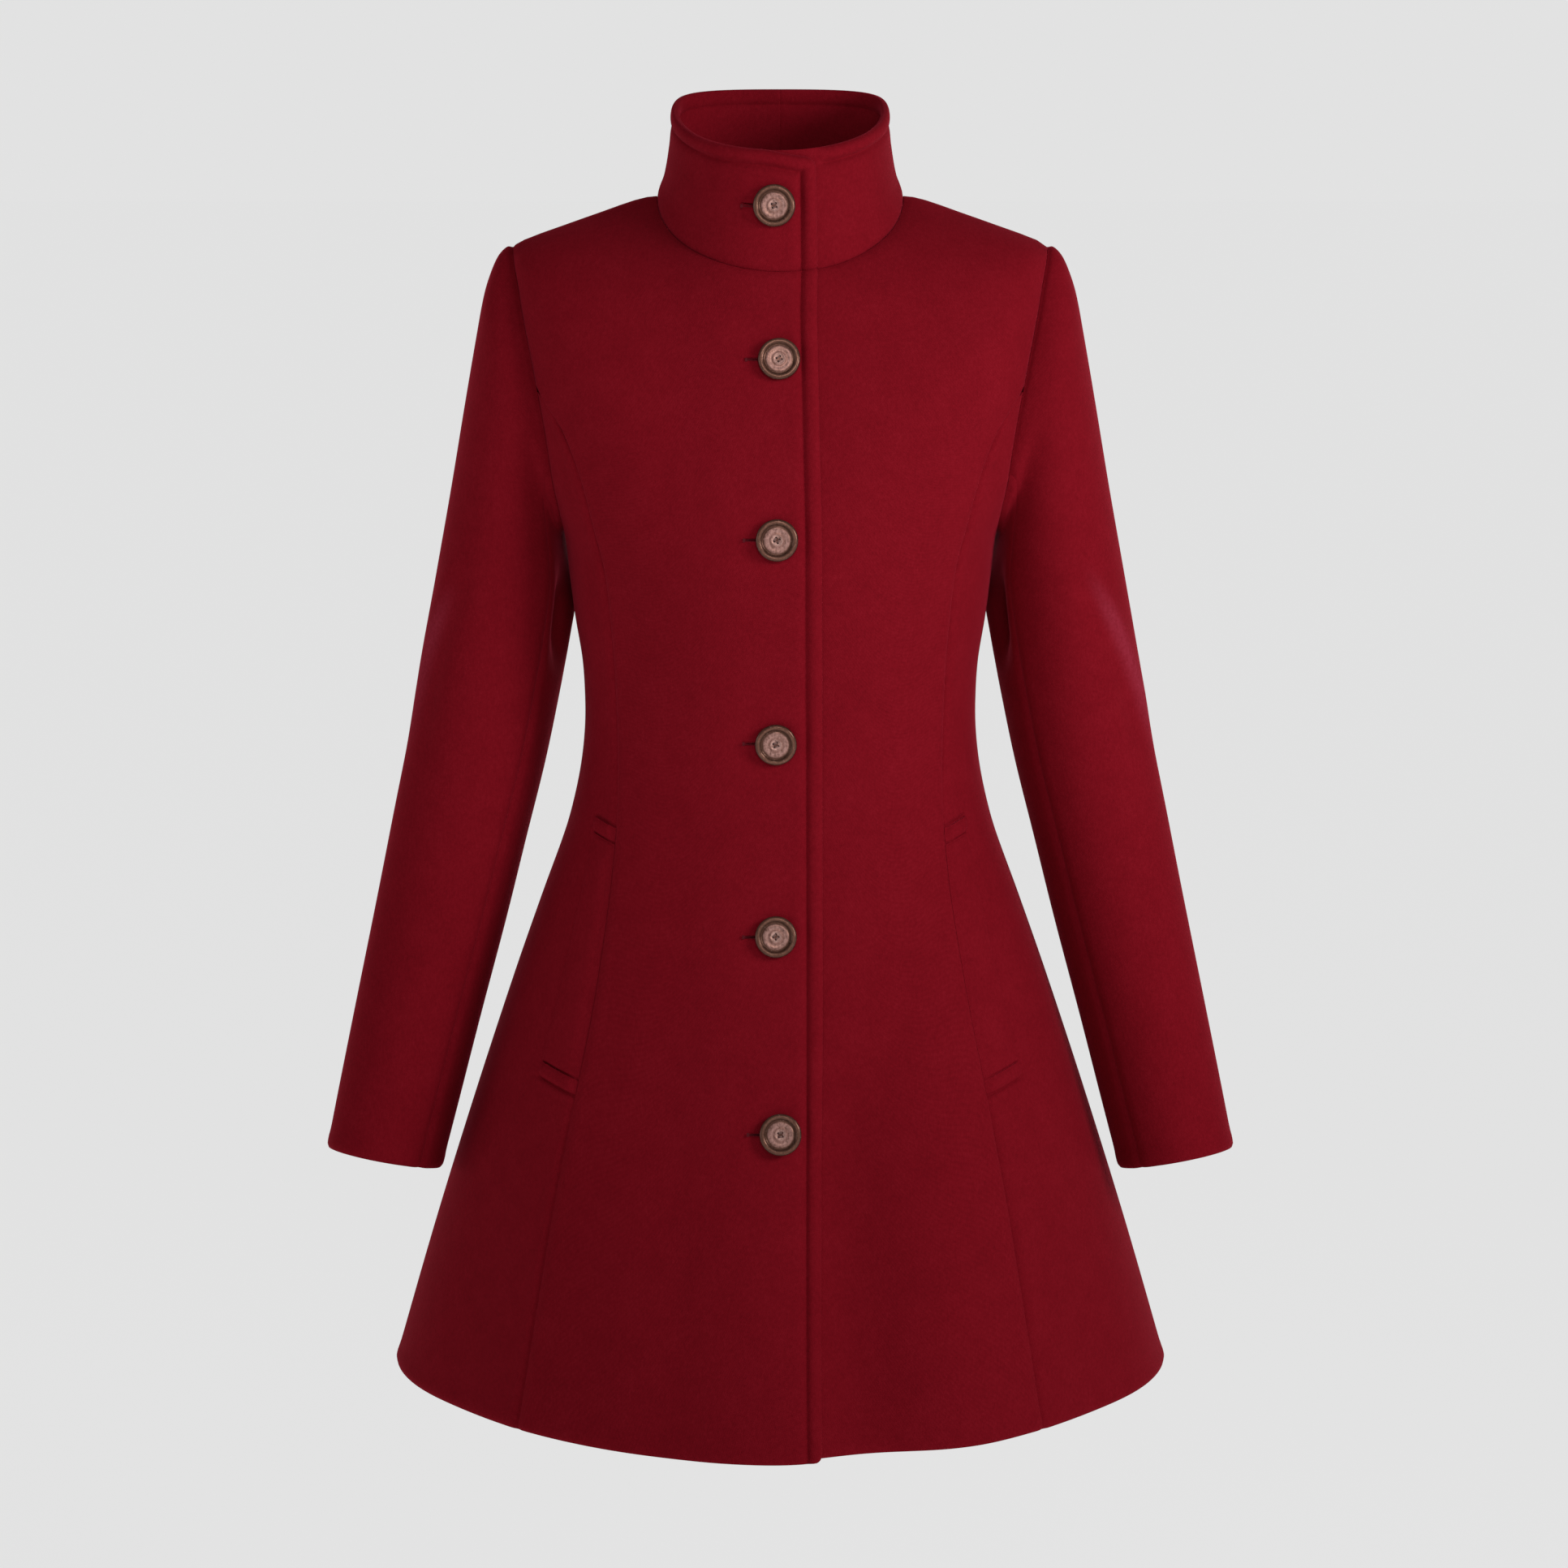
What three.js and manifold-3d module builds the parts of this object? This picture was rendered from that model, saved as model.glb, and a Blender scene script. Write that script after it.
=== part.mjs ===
// A fitted, flared coat of thick wool cloth with a stand collar, in the shape it has when worn.
// Millimetres, +Z up. The front faces -Y and +X is the wearer's left.
// The origin is midway between the two points where the neck seam meets the shoulder seams.
// The wearer's right front laps over the left one and carries the buttonholes.
import * as THREE from "three";
import Module from "manifold-3d";
import { mergeVertices } from "three/addons/utils/BufferGeometryUtils.js";

const wasm = await Module();
wasm.setup();

// Driving dimensions
const CLOTH = 2.5; // wall of the body and sleeves
const COLLAR_CLOTH = 4.5; // two layers of cloth with stiffening between them
const SEAM_GAP = 0.3;
const LAP_GAP = 0.5; // air between the two layers of the front lap
const LAP_LIFT = CLOTH + LAP_GAP; // how far the upper front stands out over the lower one
const COLLAR_SINK = COLLAR_CLOTH + LAP_GAP - LAP_LIFT; // how far the collar's lower end sinks
const LAP_EDGE = 29; // reach of either front past the centre line
const TIP_LEVEL = 35; // the shoulder tip lies this far under the neck seam's side point
const UNDERARM_LEVEL = 230;
const HEM_LEVEL = 826;
const ARMHOLE_FRONT = 56; // greatest reach of the armhole in front of the shoulder line
const ARMHOLE_BACK = 54;
const PRINCESS_START = 0.43; // share of the armhole's height where the front seam leaves it
const SLEEVE_SEAM = 0.74; // share of the armhole's height where the sleeve's seams start
const COLLAR_CORNER = 8; // radius of the collar's front corner
const HEM_CORNER = 6; // radius of the upper front's lower corner
const SLEEVE_SET = 0.5; // the sleeve starts this far outside the armhole's edge
const BUTTON_RADIUS = 14; // a 44 line coat button
const BUTTON_HEIGHT = 4.4;
const BUTTON_SIDES = 16;
const BUTTON_STAND = 0.9; // the button's back stands this far off the cloth, on its thread shank
const SHANK_RADIUS = 1.2;
const SHANK_GAP = 0.65; // from the shank's end to the layer below
const EYELET_RADIUS = 2.4;
const SLIT_LENGTH = 22; // from the button's centre to the far end of its buttonhole
const SLIT_WIDE = 2;
const SLIT_NARROW = 0.8;
const WELT_CLOTH = 2.2;
const BAR_CLOTH = 3.2;
const POCKET_SLANT = 0.22; // rise of the pocket's bars over their width

const RED = 0x7d1220;
const BROWN = 0x4a362f;
const QUARTER = Math.PI / 2;

// Rings of the body. level is the ring's depth at its side, half its half width there, front and
// back its reach from the shoulder plane. frontDrop and backDrop say how much lower it lies at
// the centre. square is the exponent of its plan curve, and round that of its fall to the centre.
const BODY_RINGS = [
  { level: 0, half: 85, front: 88, back: 60, frontDrop: 50, backDrop: 8, square: 2.0, round: 1.0 },
  { level: 3, half: 99, front: 89.7, back: 65, frontDrop: 53, backDrop: 13, square: 1.98, round: 1.1 },
  { level: 11, half: 122, front: 93.6, back: 73.5, frontDrop: 59, backDrop: 20, square: 2.1, round: 1.33 },
  { level: 22, half: 153, front: 98.2, back: 82.6, frontDrop: 65, backDrop: 26, square: 2.0, round: 1.62 },
  { level: 30, half: 175, front: 101.6, back: 88.6, frontDrop: 69, backDrop: 29, square: 1.93, round: 1.7 },
  { level: 35, half: 183, front: 103.4, back: 91.4, frontDrop: 71, backDrop: 30, square: 1.98, round: 1.53 },
  { level: 54, half: 181.5, front: 107.8, back: 97.5, frontDrop: 69, backDrop: 29, square: 2.3, round: 1.5 },
  { level: 84, half: 179, front: 114.3, back: 104.5, frontDrop: 63, backDrop: 26, square: 2.35, round: 1.64 },
  { level: 132, half: 173, front: 123.5, back: 112.5, frontDrop: 50, backDrop: 20, square: 2.28, round: 1.62 },
  { level: 181, half: 165, front: 129.5, back: 114.5, frontDrop: 36, backDrop: 13, square: 2.2, round: 1.6 },
  { level: 210, half: 156, front: 130.8, back: 113, frontDrop: 28, backDrop: 9, square: 2.2, round: 1.6 },
  { level: 230, half: 149.5, front: 130, back: 111, frontDrop: 23, backDrop: 7, square: 2.2, round: 1.6 },
  { level: 260, half: 146, front: 126, back: 107, frontDrop: 16, backDrop: 4, square: 2.2, round: 1.6 },
  { level: 289, half: 142.4, front: 121, back: 102, frontDrop: 10, backDrop: 2, square: 2.2, round: 1.6 },
  { level: 320, half: 137.6, front: 115, back: 97, frontDrop: 5, backDrop: 1, square: 2.2, round: 1.6 },
  { level: 350, half: 136.1, front: 110.5, back: 93, frontDrop: 1, backDrop: 0, square: 2.2, round: 1.6 },
  { level: 371, half: 136.8, front: 109, back: 91, frontDrop: 0, backDrop: 0, square: 2.2, round: 1.6 },
  { level: 394, half: 139.6, front: 110.5, back: 93, frontDrop: 0, backDrop: 0, square: 2.2, round: 1.6 },
  { level: 417, half: 144.4, front: 114, back: 98, frontDrop: 0, backDrop: 0, square: 2.17, round: 1.6 },
  { level: 440, half: 150.9, front: 119, back: 105, frontDrop: 0, backDrop: 0, square: 2.15, round: 1.6 },
  { level: 487, half: 168.1, front: 131, back: 122, frontDrop: 0, backDrop: 0, square: 2.12, round: 1.6 },
  { level: 545, half: 188.6, front: 146, back: 140, frontDrop: 0, backDrop: 0, square: 2.1, round: 1.6 },
  { level: 634, half: 218.2, front: 170, back: 166, frontDrop: 0, backDrop: 0, square: 2.0, round: 1.6 },
  { level: 724, half: 246.5, front: 195, back: 190, frontDrop: 1, backDrop: 0, square: 1.88, round: 1.6 },
  { level: 826, half: 276.5, front: 225, back: 218, frontDrop: 2, backDrop: 1, square: 1.75, round: 1.6 },
];

// Behind the neck the collar grows squarer in plan towards its rim, and its rim levels off
const RIM_SQUARE = 0.7;
const RIM_ARCH = 0.4;

// Rings of the collar. rise goes from 0 at the neck seam to 1 at the rim, and the last three
// columns are the heights of the ring at its side, front and back.
const COLLAR_RINGS = [
  { rise: 0, half: 85, front: 88, back: 60, sideZ: 0, frontZ: -50, backZ: -8 },
  { rise: 0.1, half: 82, front: 88, back: 59, sideZ: 6, frontZ: -42, backZ: 0 },
  { rise: 0.25, half: 79, front: 87.5, back: 57.5, sideZ: 15, frontZ: -30, backZ: 12 },
  { rise: 0.5, half: 76.3, front: 86, back: 55.5, sideZ: 30, frontZ: -10, backZ: 32 },
  { rise: 0.75, half: 74.6, front: 84.5, back: 54, sideZ: 44, frontZ: 10, backZ: 52 },
  { rise: 1, half: 73.6, front: 83, back: 53, sideZ: 58, frontZ: 30, backZ: 72 },
];

// The sleeve's outer and inner rails, its reach to the front and back of its own middle, how far
// that middle lies behind the shoulder line, how much further back its inner side is tucked, and
// how much its front edge is lifted.
const SLEEVE_RINGS = [
  { outerX: 183, outerZ: -35, innerX: 149.5, innerZ: -230, front: 56, back: 54, middle: 0, behind: 0, lift: 0 },
  { outerX: 187.5, outerZ: -35.5, innerX: 150.6, innerZ: -231, front: 57, back: 55.5, middle: 0, behind: 1, lift: 0 },
  { outerX: 193.5, outerZ: -42, innerX: 151.3, innerZ: -233, front: 58, back: 57, middle: 0, behind: 3, lift: 0 },
  { outerX: 198.6, outerZ: -53, innerX: 150.9, innerZ: -236.5, front: 59, back: 58, middle: 0, behind: 8, lift: 0 },
  { outerX: 203.5, outerZ: -69, innerX: 150, innerZ: -242, front: 59.5, back: 59, middle: 0, behind: 13, lift: 0 },
  { outerX: 209.2, outerZ: -98, innerX: 148.2, innerZ: -251, front: 60, back: 60, middle: 0.5, behind: 17, lift: 0 },
  { outerX: 217.7, outerZ: -144, innerX: 145.2, innerZ: -263, front: 60, back: 60, middle: 1, behind: 20, lift: 0 },
  { outerX: 227.8, outerZ: -200, innerX: 143.2, innerZ: -280, front: 59, back: 60, middle: 2, behind: 20, lift: 0 },
  { outerX: 238.5, outerZ: -256, innerX: 146.8, innerZ: -303, front: 58, back: 59, middle: 3, behind: 16, lift: 0 },
  { outerX: 249.3, outerZ: -313, innerX: 153, innerZ: -336, front: 56.5, back: 58, middle: 4, behind: 9, lift: 0 },
  { outerX: 259.6, outerZ: -371, innerX: 164.5, innerZ: -391, front: 54.5, back: 56, middle: 3, behind: 3, lift: 1 },
  { outerX: 271.4, outerZ: -428, innerX: 178.7, innerZ: -447, front: 52.5, back: 53.5, middle: 0, behind: 0, lift: 3 },
  { outerX: 283.3, outerZ: -486.5, innerX: 193.4, innerZ: -505, front: 50.5, back: 51, middle: -5, behind: 0, lift: 5 },
  { outerX: 297.5, outerZ: -555, innerX: 211.4, innerZ: -572, front: 48, back: 48, middle: -13, behind: 0, lift: 7 },
  { outerX: 310.3, outerZ: -617, innerX: 227.3, innerZ: -633, front: 46, back: 45.5, middle: -20, behind: 0, lift: 8 },
  { outerX: 319.7, outerZ: -663.5, innerX: 239.6, innerZ: -679.5, front: 44.5, back: 44, middle: -25, behind: 0, lift: 8 },
];

// Where the front princess seam lies, as its distance from the centre line seen from the front
const PRINCESS_LINE = [
  { level: 119, x: 161.5 },
  { level: 133, x: 149 },
  { level: 165, x: 136 },
  { level: 210, x: 126 },
  { level: 245, x: 119.6 },
  { level: 296, x: 115 },
  { level: 350, x: 112.5 },
  { level: 413, x: 111.8 },
  { level: 465, x: 116 },
  { level: 526, x: 124.5 },
  { level: 560, x: 130.6 },
  { level: 594, x: 137.7 },
  { level: 634, x: 146 },
  { level: 673, x: 153.8 },
  { level: 724, x: 162.5 },
  { level: 826, x: 179.3 },
];

// Width of the pocket welt along the cloth
const WELT_WIDTH = [
  { level: 119, width: 18 },
  { level: 420, width: 23 },
  { level: 600, width: 36 },
  { level: 826, width: 46 },
];

// Reach of the upper front's edge past the centre line
const FRONT_EDGE = [
  { level: 0, x: 24.6 },
  { level: 15, x: 24.2 },
  { level: 60, x: 25.6 },
  { level: 180, x: 27.4 },
  { level: 350, x: 28.2 },
  { level: 826, x: 28.8 },
];

// Cross-section of a stitched edge: distance from the edge, how far the face rises over the plain
// cloth, and the wall's thickness more or less than plain
const STITCHED_EDGE = [
  { distance: 0, raise: -0.9, extra: -0.9 },
  { distance: 1.2, raise: 0.3, extra: 0.3 },
  { distance: 3.5, raise: 0.9, extra: 0.9 },
  { distance: 8.8, raise: 0.6, extra: 0.6 },
  { distance: 10.7, raise: -0.5, extra: -0.5 },
  { distance: 12.4, raise: 0, extra: 0 },
];

// Soft hanging folds of the skirt: angle round the body from the centre front, its half spread,
// and how far the cloth lies in from the plain cone at the hem. Those whose angle is on both sides
// lie alike in the mirrored panels.
const SKIRT_FOLDS = [
  { angle: 0.3, spread: 0.2, depth: 6 },
  { angle: -1.04, spread: 0.2, depth: 4.5 },
  { angle: 1.04, spread: 0.2, depth: 4.5 },
  { angle: -2.45, spread: 0.24, depth: 7.5 },
  { angle: 2.45, spread: 0.24, depth: 7.5 },
];
const FOLD_TOP = 560;

// Profile of the button, from the axis at its back round to the axis at its face
const BUTTON_FACE = [
  { radius: 9, height: 0.1 },
  { radius: 13, height: 0.9 },
  { radius: BUTTON_RADIUS, height: 2.4 },
  { radius: 13.2, height: 3.9 },
  { radius: 11.7, height: BUTTON_HEIGHT },
  { radius: 9.7, height: 2.6 },
  { radius: 8.4, height: 3.1 },
  { radius: 5.5, height: 2.3 },
  { radius: 0, height: 2.7 },
];

// The button on the collar by its share of the collar's height, and those down the front
const COLLAR_BUTTON = { x: -3.7, rise: 0.54 };
const FRONT_BUTTONS = [
  { x: -0.6, z: -107.5 },
  { x: -2, z: -224 },
  { x: -2.8, z: -362.5 },
  { x: -2.8, z: -491 },
  { x: 0.2, z: -618.5 },
];
const STITCH_HOLE = { radius: 0.85, out: 2.2, sides: 6, count: 4 };

// Levels of the rows of every body panel
const SHOULDER_LEVELS = [0, 4, 12, 22, 30];
const ARMHOLE_SHARES = [0, 0.015, 0.06, 0.14, 0.26, PRINCESS_START, 0.58, SLEEVE_SEAM, 0.88, 0.97, 1];
const POCKET = { fadeTop: 376, barTop: 425, weltTop: 436, weltBottom: 592, barBottom: 603, fadeBottom: 672 };
const SKIRT_LEVELS = [
  250, 275, 304, 334, 363, 392, POCKET.barTop, POCKET.weltTop, 472, 511, 549,
  POCKET.weltBottom, POCKET.barBottom, 645, 700, 762, HEM_LEVEL,
];
const armholeLevel = (share) => TIP_LEVEL + share * (UNDERARM_LEVEL - TIP_LEVEL);
const LEVELS = [...SHOULDER_LEVELS, ...ARMHOLE_SHARES.map(armholeLevel), ...SKIRT_LEVELS];

const clamp01 = (t) => Math.min(1, Math.max(0, t));
const smooth = (t) => clamp01(t) ** 2 * (3 - 2 * clamp01(t));
const mix = (a, b, t) => a + (b - a) * t;

// A smooth curve through one column of a table, read at a value of its key column
function curve(table, key, column) {
  const at = table.map((row) => row[key]);
  const value = table.map((row) => row[column]);
  const last = table.length - 1;
  const slope = at.map((_, i) => {
    const a = Math.max(0, i - 1);
    const b = Math.min(last, i + 1);
    return (value[b] - value[a]) / (at[b] - at[a]);
  });
  return (x) => {
    let i = 0;
    while (i < last - 1 && x > at[i + 1]) i += 1;
    const span = at[i + 1] - at[i];
    const t = clamp01((x - at[i]) / span);
    const bend = t * (1 - t) * span;
    return mix(value[i], value[i + 1], t * t * (3 - 2 * t)) + bend * (slope[i] * (1 - t) - slope[i + 1] * t);
  };
}

// Straight steps between the rows of a table
function steps(table, key, column) {
  return (x) => {
    let i = 0;
    while (i < table.length - 2 && x > table[i + 1][key]) i += 1;
    const t = clamp01((x - table[i][key]) / (table[i + 1][key] - table[i][key]));
    return mix(table[i][column], table[i + 1][column], t);
  };
}

const columnsOf = (table, key, names) =>
  Object.fromEntries(names.map((name) => [name, curve(table, key, name)]));

const BODY_COLUMNS = ["half", "front", "back", "frontDrop", "backDrop", "square", "round"];
const body = columnsOf(BODY_RINGS, "level", BODY_COLUMNS);
const neckband = columnsOf(COLLAR_RINGS, "rise", ["half", "front", "back", "sideZ", "frontZ", "backZ"]);
const princessX = curve(PRINCESS_LINE, "level", "x");
const weltWidth = steps(WELT_WIDTH, "level", "width");
const frontEdgeX = steps(FRONT_EDGE, "level", "x");
const edgeRaise = steps(STITCHED_EDGE, "distance", "raise");
const edgeExtra = steps(STITCHED_EDGE, "distance", "extra");

// Reach of a plan curve in a direction: angle 0 is the front, a quarter turn the wearer's left
function reach(angle, half, depth, square) {
  const across = Math.abs(Math.sin(angle)) / half;
  const along = Math.abs(Math.cos(angle)) / depth;
  return (across ** square + along ** square) ** (-1 / square);
}

// How far the skirt's folds pull the cloth in
function foldDepth(angle, level) {
  const grow = smooth((level - FOLD_TOP) / (HEM_LEVEL - FOLD_TOP));
  return SKIRT_FOLDS.reduce(
    (sum, f) => sum + f.depth * grow * Math.exp(-(((angle - f.angle) / f.spread) ** 2)), 0);
}

// A point of the body's outer face
function bodyPoint(angle, level) {
  const inFront = Math.cos(angle) > 0;
  const depth = inFront ? body.front(level) : body.back(level);
  const drop = inFront ? body.frontDrop(level) : body.backDrop(level);
  const plain = reach(angle, body.half(level), depth, body.square(level));
  const fall = drop * (Math.abs(plain * Math.cos(angle)) / depth) ** body.round(level);
  const r = plain - foldDepth(angle, level);
  return new THREE.Vector3(r * Math.sin(angle), -r * Math.cos(angle), -level - fall);
}

// A point of the collar's outer face
function collarPoint(angle, rise) {
  const inFront = Math.cos(angle) > 0;
  const depth = inFront ? neckband.front(rise) : neckband.back(rise);
  const endZ = inFront ? neckband.frontZ(rise) : neckband.backZ(rise);
  const r = reach(angle, neckband.half(rise), depth, inFront ? 2 : 2 + RIM_SQUARE * rise);
  const y = -r * Math.cos(angle);
  const ahead = Math.abs(y) / depth;
  const arch = inFront ? 0 : RIM_ARCH * rise * ahead * (1 - ahead);
  const z = mix(neckband.sideZ(rise), endZ, ahead + arch);
  return new THREE.Vector3(r * Math.sin(angle), y, z);
}

// Outward normal of a surface given as a function of two values
function normalOf(surface, u, v, du, dv) {
  const alongU = surface(u + du, v).sub(surface(u - du, v));
  const alongV = surface(u, v + dv).sub(surface(u, v - dv));
  return alongU.cross(alongV).normalize();
}
const ANGLE_STEP = 0.004;
const bodyNormal = (angle, level) =>
  normalOf(bodyPoint, angle, Math.min(HEM_LEVEL - 1, Math.max(0.5, level)), ANGLE_STEP, 0.5).negate();
const collarNormal = (angle, rise) =>
  normalOf(collarPoint, angle, Math.min(0.99, Math.max(0.01, rise)), ANGLE_STEP, 0.01);

// The value between two limits where a rising function reaches a target
function solve(rising, low, high, target) {
  let a = low;
  let b = high;
  for (let i = 0; i < 40; i += 1) {
    const middle = (a + b) / 2;
    if (rising(middle) < target) a = middle;
    else b = middle;
  }
  return (a + b) / 2;
}
const angleAtX = (x, level) => Math.sign(x) * solve((t) => bodyPoint(t, level).x, 0, QUARTER, Math.abs(x));
const frontAngleAtDepth = (depth, level) =>
  QUARTER - solve((t) => -bodyPoint(QUARTER - t, level).y, 0, QUARTER, depth);
const backAngleAtDepth = (depth, level) =>
  QUARTER + solve((t) => bodyPoint(QUARTER + t, level).y, 0, QUARTER, depth);

// The angle reached from a start by going a given way along the cloth
function angleAlong(start, distance, level) {
  const STEP = 0.02;
  let angle = start;
  let gone = 0;
  let here = bodyPoint(angle, level);
  while (gone < distance) {
    const next = bodyPoint(angle + STEP, level);
    const piece = next.distanceTo(here);
    if (gone + piece >= distance) return angle + (STEP * (distance - gone)) / piece;
    gone += piece;
    angle += STEP;
    here = next;
  }
  return angle;
}
const halfGapAngle = (angle, level) =>
  (SEAM_GAP * ANGLE_STEP) /
  bodyPoint(angle + ANGLE_STEP, level).distanceTo(bodyPoint(angle - ANGLE_STEP, level));

// Edges of the armhole at a level, as angles on the wearer's left side
function armholeReach(share, widest) {
  const egg = Math.max(0, 1 - Math.abs(2 * share - 1) ** 2.3) ** (1 / 2.3);
  return widest * egg * (1 - 0.3 * (1 - share) ** 2);
}
const armholeShare = (level) => (level - TIP_LEVEL) / (UNDERARM_LEVEL - TIP_LEVEL);
const inArmhole = (level) => level > TIP_LEVEL && level < UNDERARM_LEVEL - 1e-6;
const armholeFront = (level) =>
  inArmhole(level) ? frontAngleAtDepth(armholeReach(armholeShare(level), ARMHOLE_FRONT), level) : QUARTER;
const armholeBack = (level) =>
  inArmhole(level) ? backAngleAtDepth(armholeReach(armholeShare(level), ARMHOLE_BACK), level) : QUARTER;

// The sleeve, on the wearer's left. turn is 0 at the top of the cap and half a turn at the
// underarm, positive in front. row is the position in the table of rings.
const sleeveTable = SLEEVE_RINGS.map((ring, row) => ({ row, ...ring }));
const SLEEVE_COLUMNS = ["outerX", "outerZ", "innerX", "innerZ", "front", "back", "middle", "behind", "lift"];
const sleeve = columnsOf(sleeveTable, "row", SLEEVE_COLUMNS);
const SLEEVE_ROWS = SLEEVE_RINGS.length;
function sleeveRing(turn, row) {
  const across = Math.cos(turn);
  const ahead = Math.sin(turn);
  const depth = ahead > 0 ? sleeve.front(row) : sleeve.back(row);
  const tuck = sleeve.behind(row) * ((1 - across) / 2) ** 2;
  return new THREE.Vector3(
    mix(sleeve.innerX(row), sleeve.outerX(row), (1 + across) / 2),
    sleeve.middle(row) + tuck - ahead * depth,
    mix(sleeve.innerZ(row), sleeve.outerZ(row), (1 + across) / 2) + ahead * sleeve.lift(row),
  );
}

// The armhole as the list of points that the body's rows give, from the top of the cap
function armholePoint(share, inFront) {
  const level = armholeLevel(share);
  return bodyPoint(inFront ? armholeFront(level) : armholeBack(level), level);
}
// The ring that fits the armhole fades into the sleeve's own rings over the cap
const CAP_ROWS = 6;
function sleevePoint(turn, row) {
  const share = (1 - Math.cos(turn)) / 2;
  const start = armholePoint(share, turn >= 0).sub(sleeveRing(turn, 0));
  const fade = 1 - smooth(row / CAP_ROWS);
  return sleeveRing(turn, row).addScaledVector(start, fade).add(new THREE.Vector3(SLEEVE_SET, 0, 0));
}
const sleeveNormal = (turn, row) =>
  normalOf(sleevePoint, turn, Math.min(SLEEVE_ROWS - 1.05, Math.max(0.3, row)), 0.01, 0.05);

// Shared directions of the walls along the neck seam and the armhole
const neckMitre = (angle) => bodyNormal(angle, 0).add(collarNormal(angle, 0)).normalize();
const armholeMitre = (turn, angle, level) =>
  bodyNormal(angle, level).add(sleeveNormal(turn, 0)).normalize();

// Closed solid of a cloth wall. Each point of the grid has its place on the face, the outward
// direction and the thickness of the wall there.
function wallGeometry(grid) {
  const rows = grid.length;
  const columns = grid[0].length;
  const positions = [];
  grid.flat().forEach((p) => positions.push(...p.at.toArray()));
  grid.flat().forEach((p) => positions.push(...p.at.clone().addScaledVector(p.out, -p.wall).toArray()));
  const face = (i, j) => i * columns + j;
  const back = (i, j) => rows * columns + face(i, j);
  const index = [];
  const quad = (a, b, c, d) => index.push(a, b, c, a, c, d);
  for (let i = 0; i < rows - 1; i += 1) {
    for (let j = 0; j < columns - 1; j += 1) {
      quad(face(i, j), face(i + 1, j), face(i + 1, j + 1), face(i, j + 1));
      quad(back(i, j), back(i, j + 1), back(i + 1, j + 1), back(i + 1, j));
    }
    quad(face(i, 0), back(i, 0), back(i + 1, 0), face(i + 1, 0));
    quad(face(i, columns - 1), face(i + 1, columns - 1), back(i + 1, columns - 1), back(i, columns - 1));
  }
  for (let j = 0; j < columns - 1; j += 1) {
    // The diagonal starts at the higher point, as it does down the edges of the pieces next to it
    const falls = grid[0][j].at.z > grid[0][j + 1].at.z;
    if (falls) quad(face(0, j), face(0, j + 1), back(0, j + 1), back(0, j));
    else quad(face(0, j + 1), back(0, j + 1), back(0, j), face(0, j));
    quad(face(rows - 1, j), back(rows - 1, j), back(rows - 1, j + 1), face(rows - 1, j + 1));
  }
  return orient(new THREE.BufferGeometry()
    .setAttribute("position", new THREE.Float32BufferAttribute(positions, 3))
    .setIndex(index));
}

// Turns a closed mesh so that its faces point out
function orient(geometry) {
  const p = geometry.getAttribute("position");
  const index = geometry.getIndex();
  const [a, b, c] = [new THREE.Vector3(), new THREE.Vector3(), new THREE.Vector3()];
  let volume = 0;
  for (let i = 0; i < index.count; i += 3) {
    a.fromBufferAttribute(p, index.getX(i));
    b.fromBufferAttribute(p, index.getX(i + 1));
    c.fromBufferAttribute(p, index.getX(i + 2));
    volume += a.dot(b.cross(c));
  }
  if (volume < 0) geometry.setIndex(Array.from(index.array).reverse());
  return geometry;
}

// The same grid on the wearer's other side
const mirrored = (grid) =>
  grid.map((row) => row.map((p) => ({ at: flipX(p.at), out: flipX(p.out), wall: p.wall })));
const flipX = (v) => new THREE.Vector3(-v.x, v.y, v.z);

// How far the upper front stands out, and how far the collar's lower end sinks
const lapLift = (x) => LAP_LIFT * smooth((x + 80) / 48);
const collarSink = (x) => COLLAR_SINK * smooth((60 - x) / 28);

// A point of the body's wall, moved out by a given amount. Points near a seam that runs down the
// side take the seam's own direction, so that the two walls there don't cross.
function bodyWall(angle, level, raise = 0, extra = 0) {
  const side = Math.sign(angle) * QUARTER;
  const facing = Math.abs(angle - side) < ANGLE_STEP ? side : angle;
  const out = level === 0 ? neckMitre(facing) : bodyNormal(facing, level);
  return { at: bodyPoint(angle, level).addScaledVector(out, raise), out, wall: CLOTH + extra };
}

// Puts the armhole's shared wall direction on a grid's points that lie on the armhole
function mitreArmhole(point, angle, level, inFront) {
  const share = clamp01(armholeShare(level));
  const turn = (inFront ? 1 : -1) * Math.acos(1 - 2 * share);
  const out = armholeMitre(turn, angle, level);
  return { ...point, out };
}
const onArmhole = (level) => level >= TIP_LEVEL && level <= UNDERARM_LEVEL + 1e-6;

// Angle where the centre front panel ends, on the wearer's left
function frontPanelEnd(level) {
  const startLevel = armholeLevel(PRINCESS_START);
  if (level < startLevel - 1e-6) return armholeFront(level);
  return Math.min(angleAtX(princessX(level), level), armholeFront(level) - 0.008);
}

// The lap's columns by their distance from the centre line, shared by both fronts
const LAP_COLUMNS = [0, -15, -LAP_EDGE];
const BAND_WIDTH = STITCHED_EDGE[STITCHED_EDGE.length - 1].distance;
const underLapColumns = (level) =>
  [...LAP_COLUMNS].reverse().concat(frontEdgeX(level) - BAND_WIDTH, frontEdgeX(level));
const FRONT_REST = 6;

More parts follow.
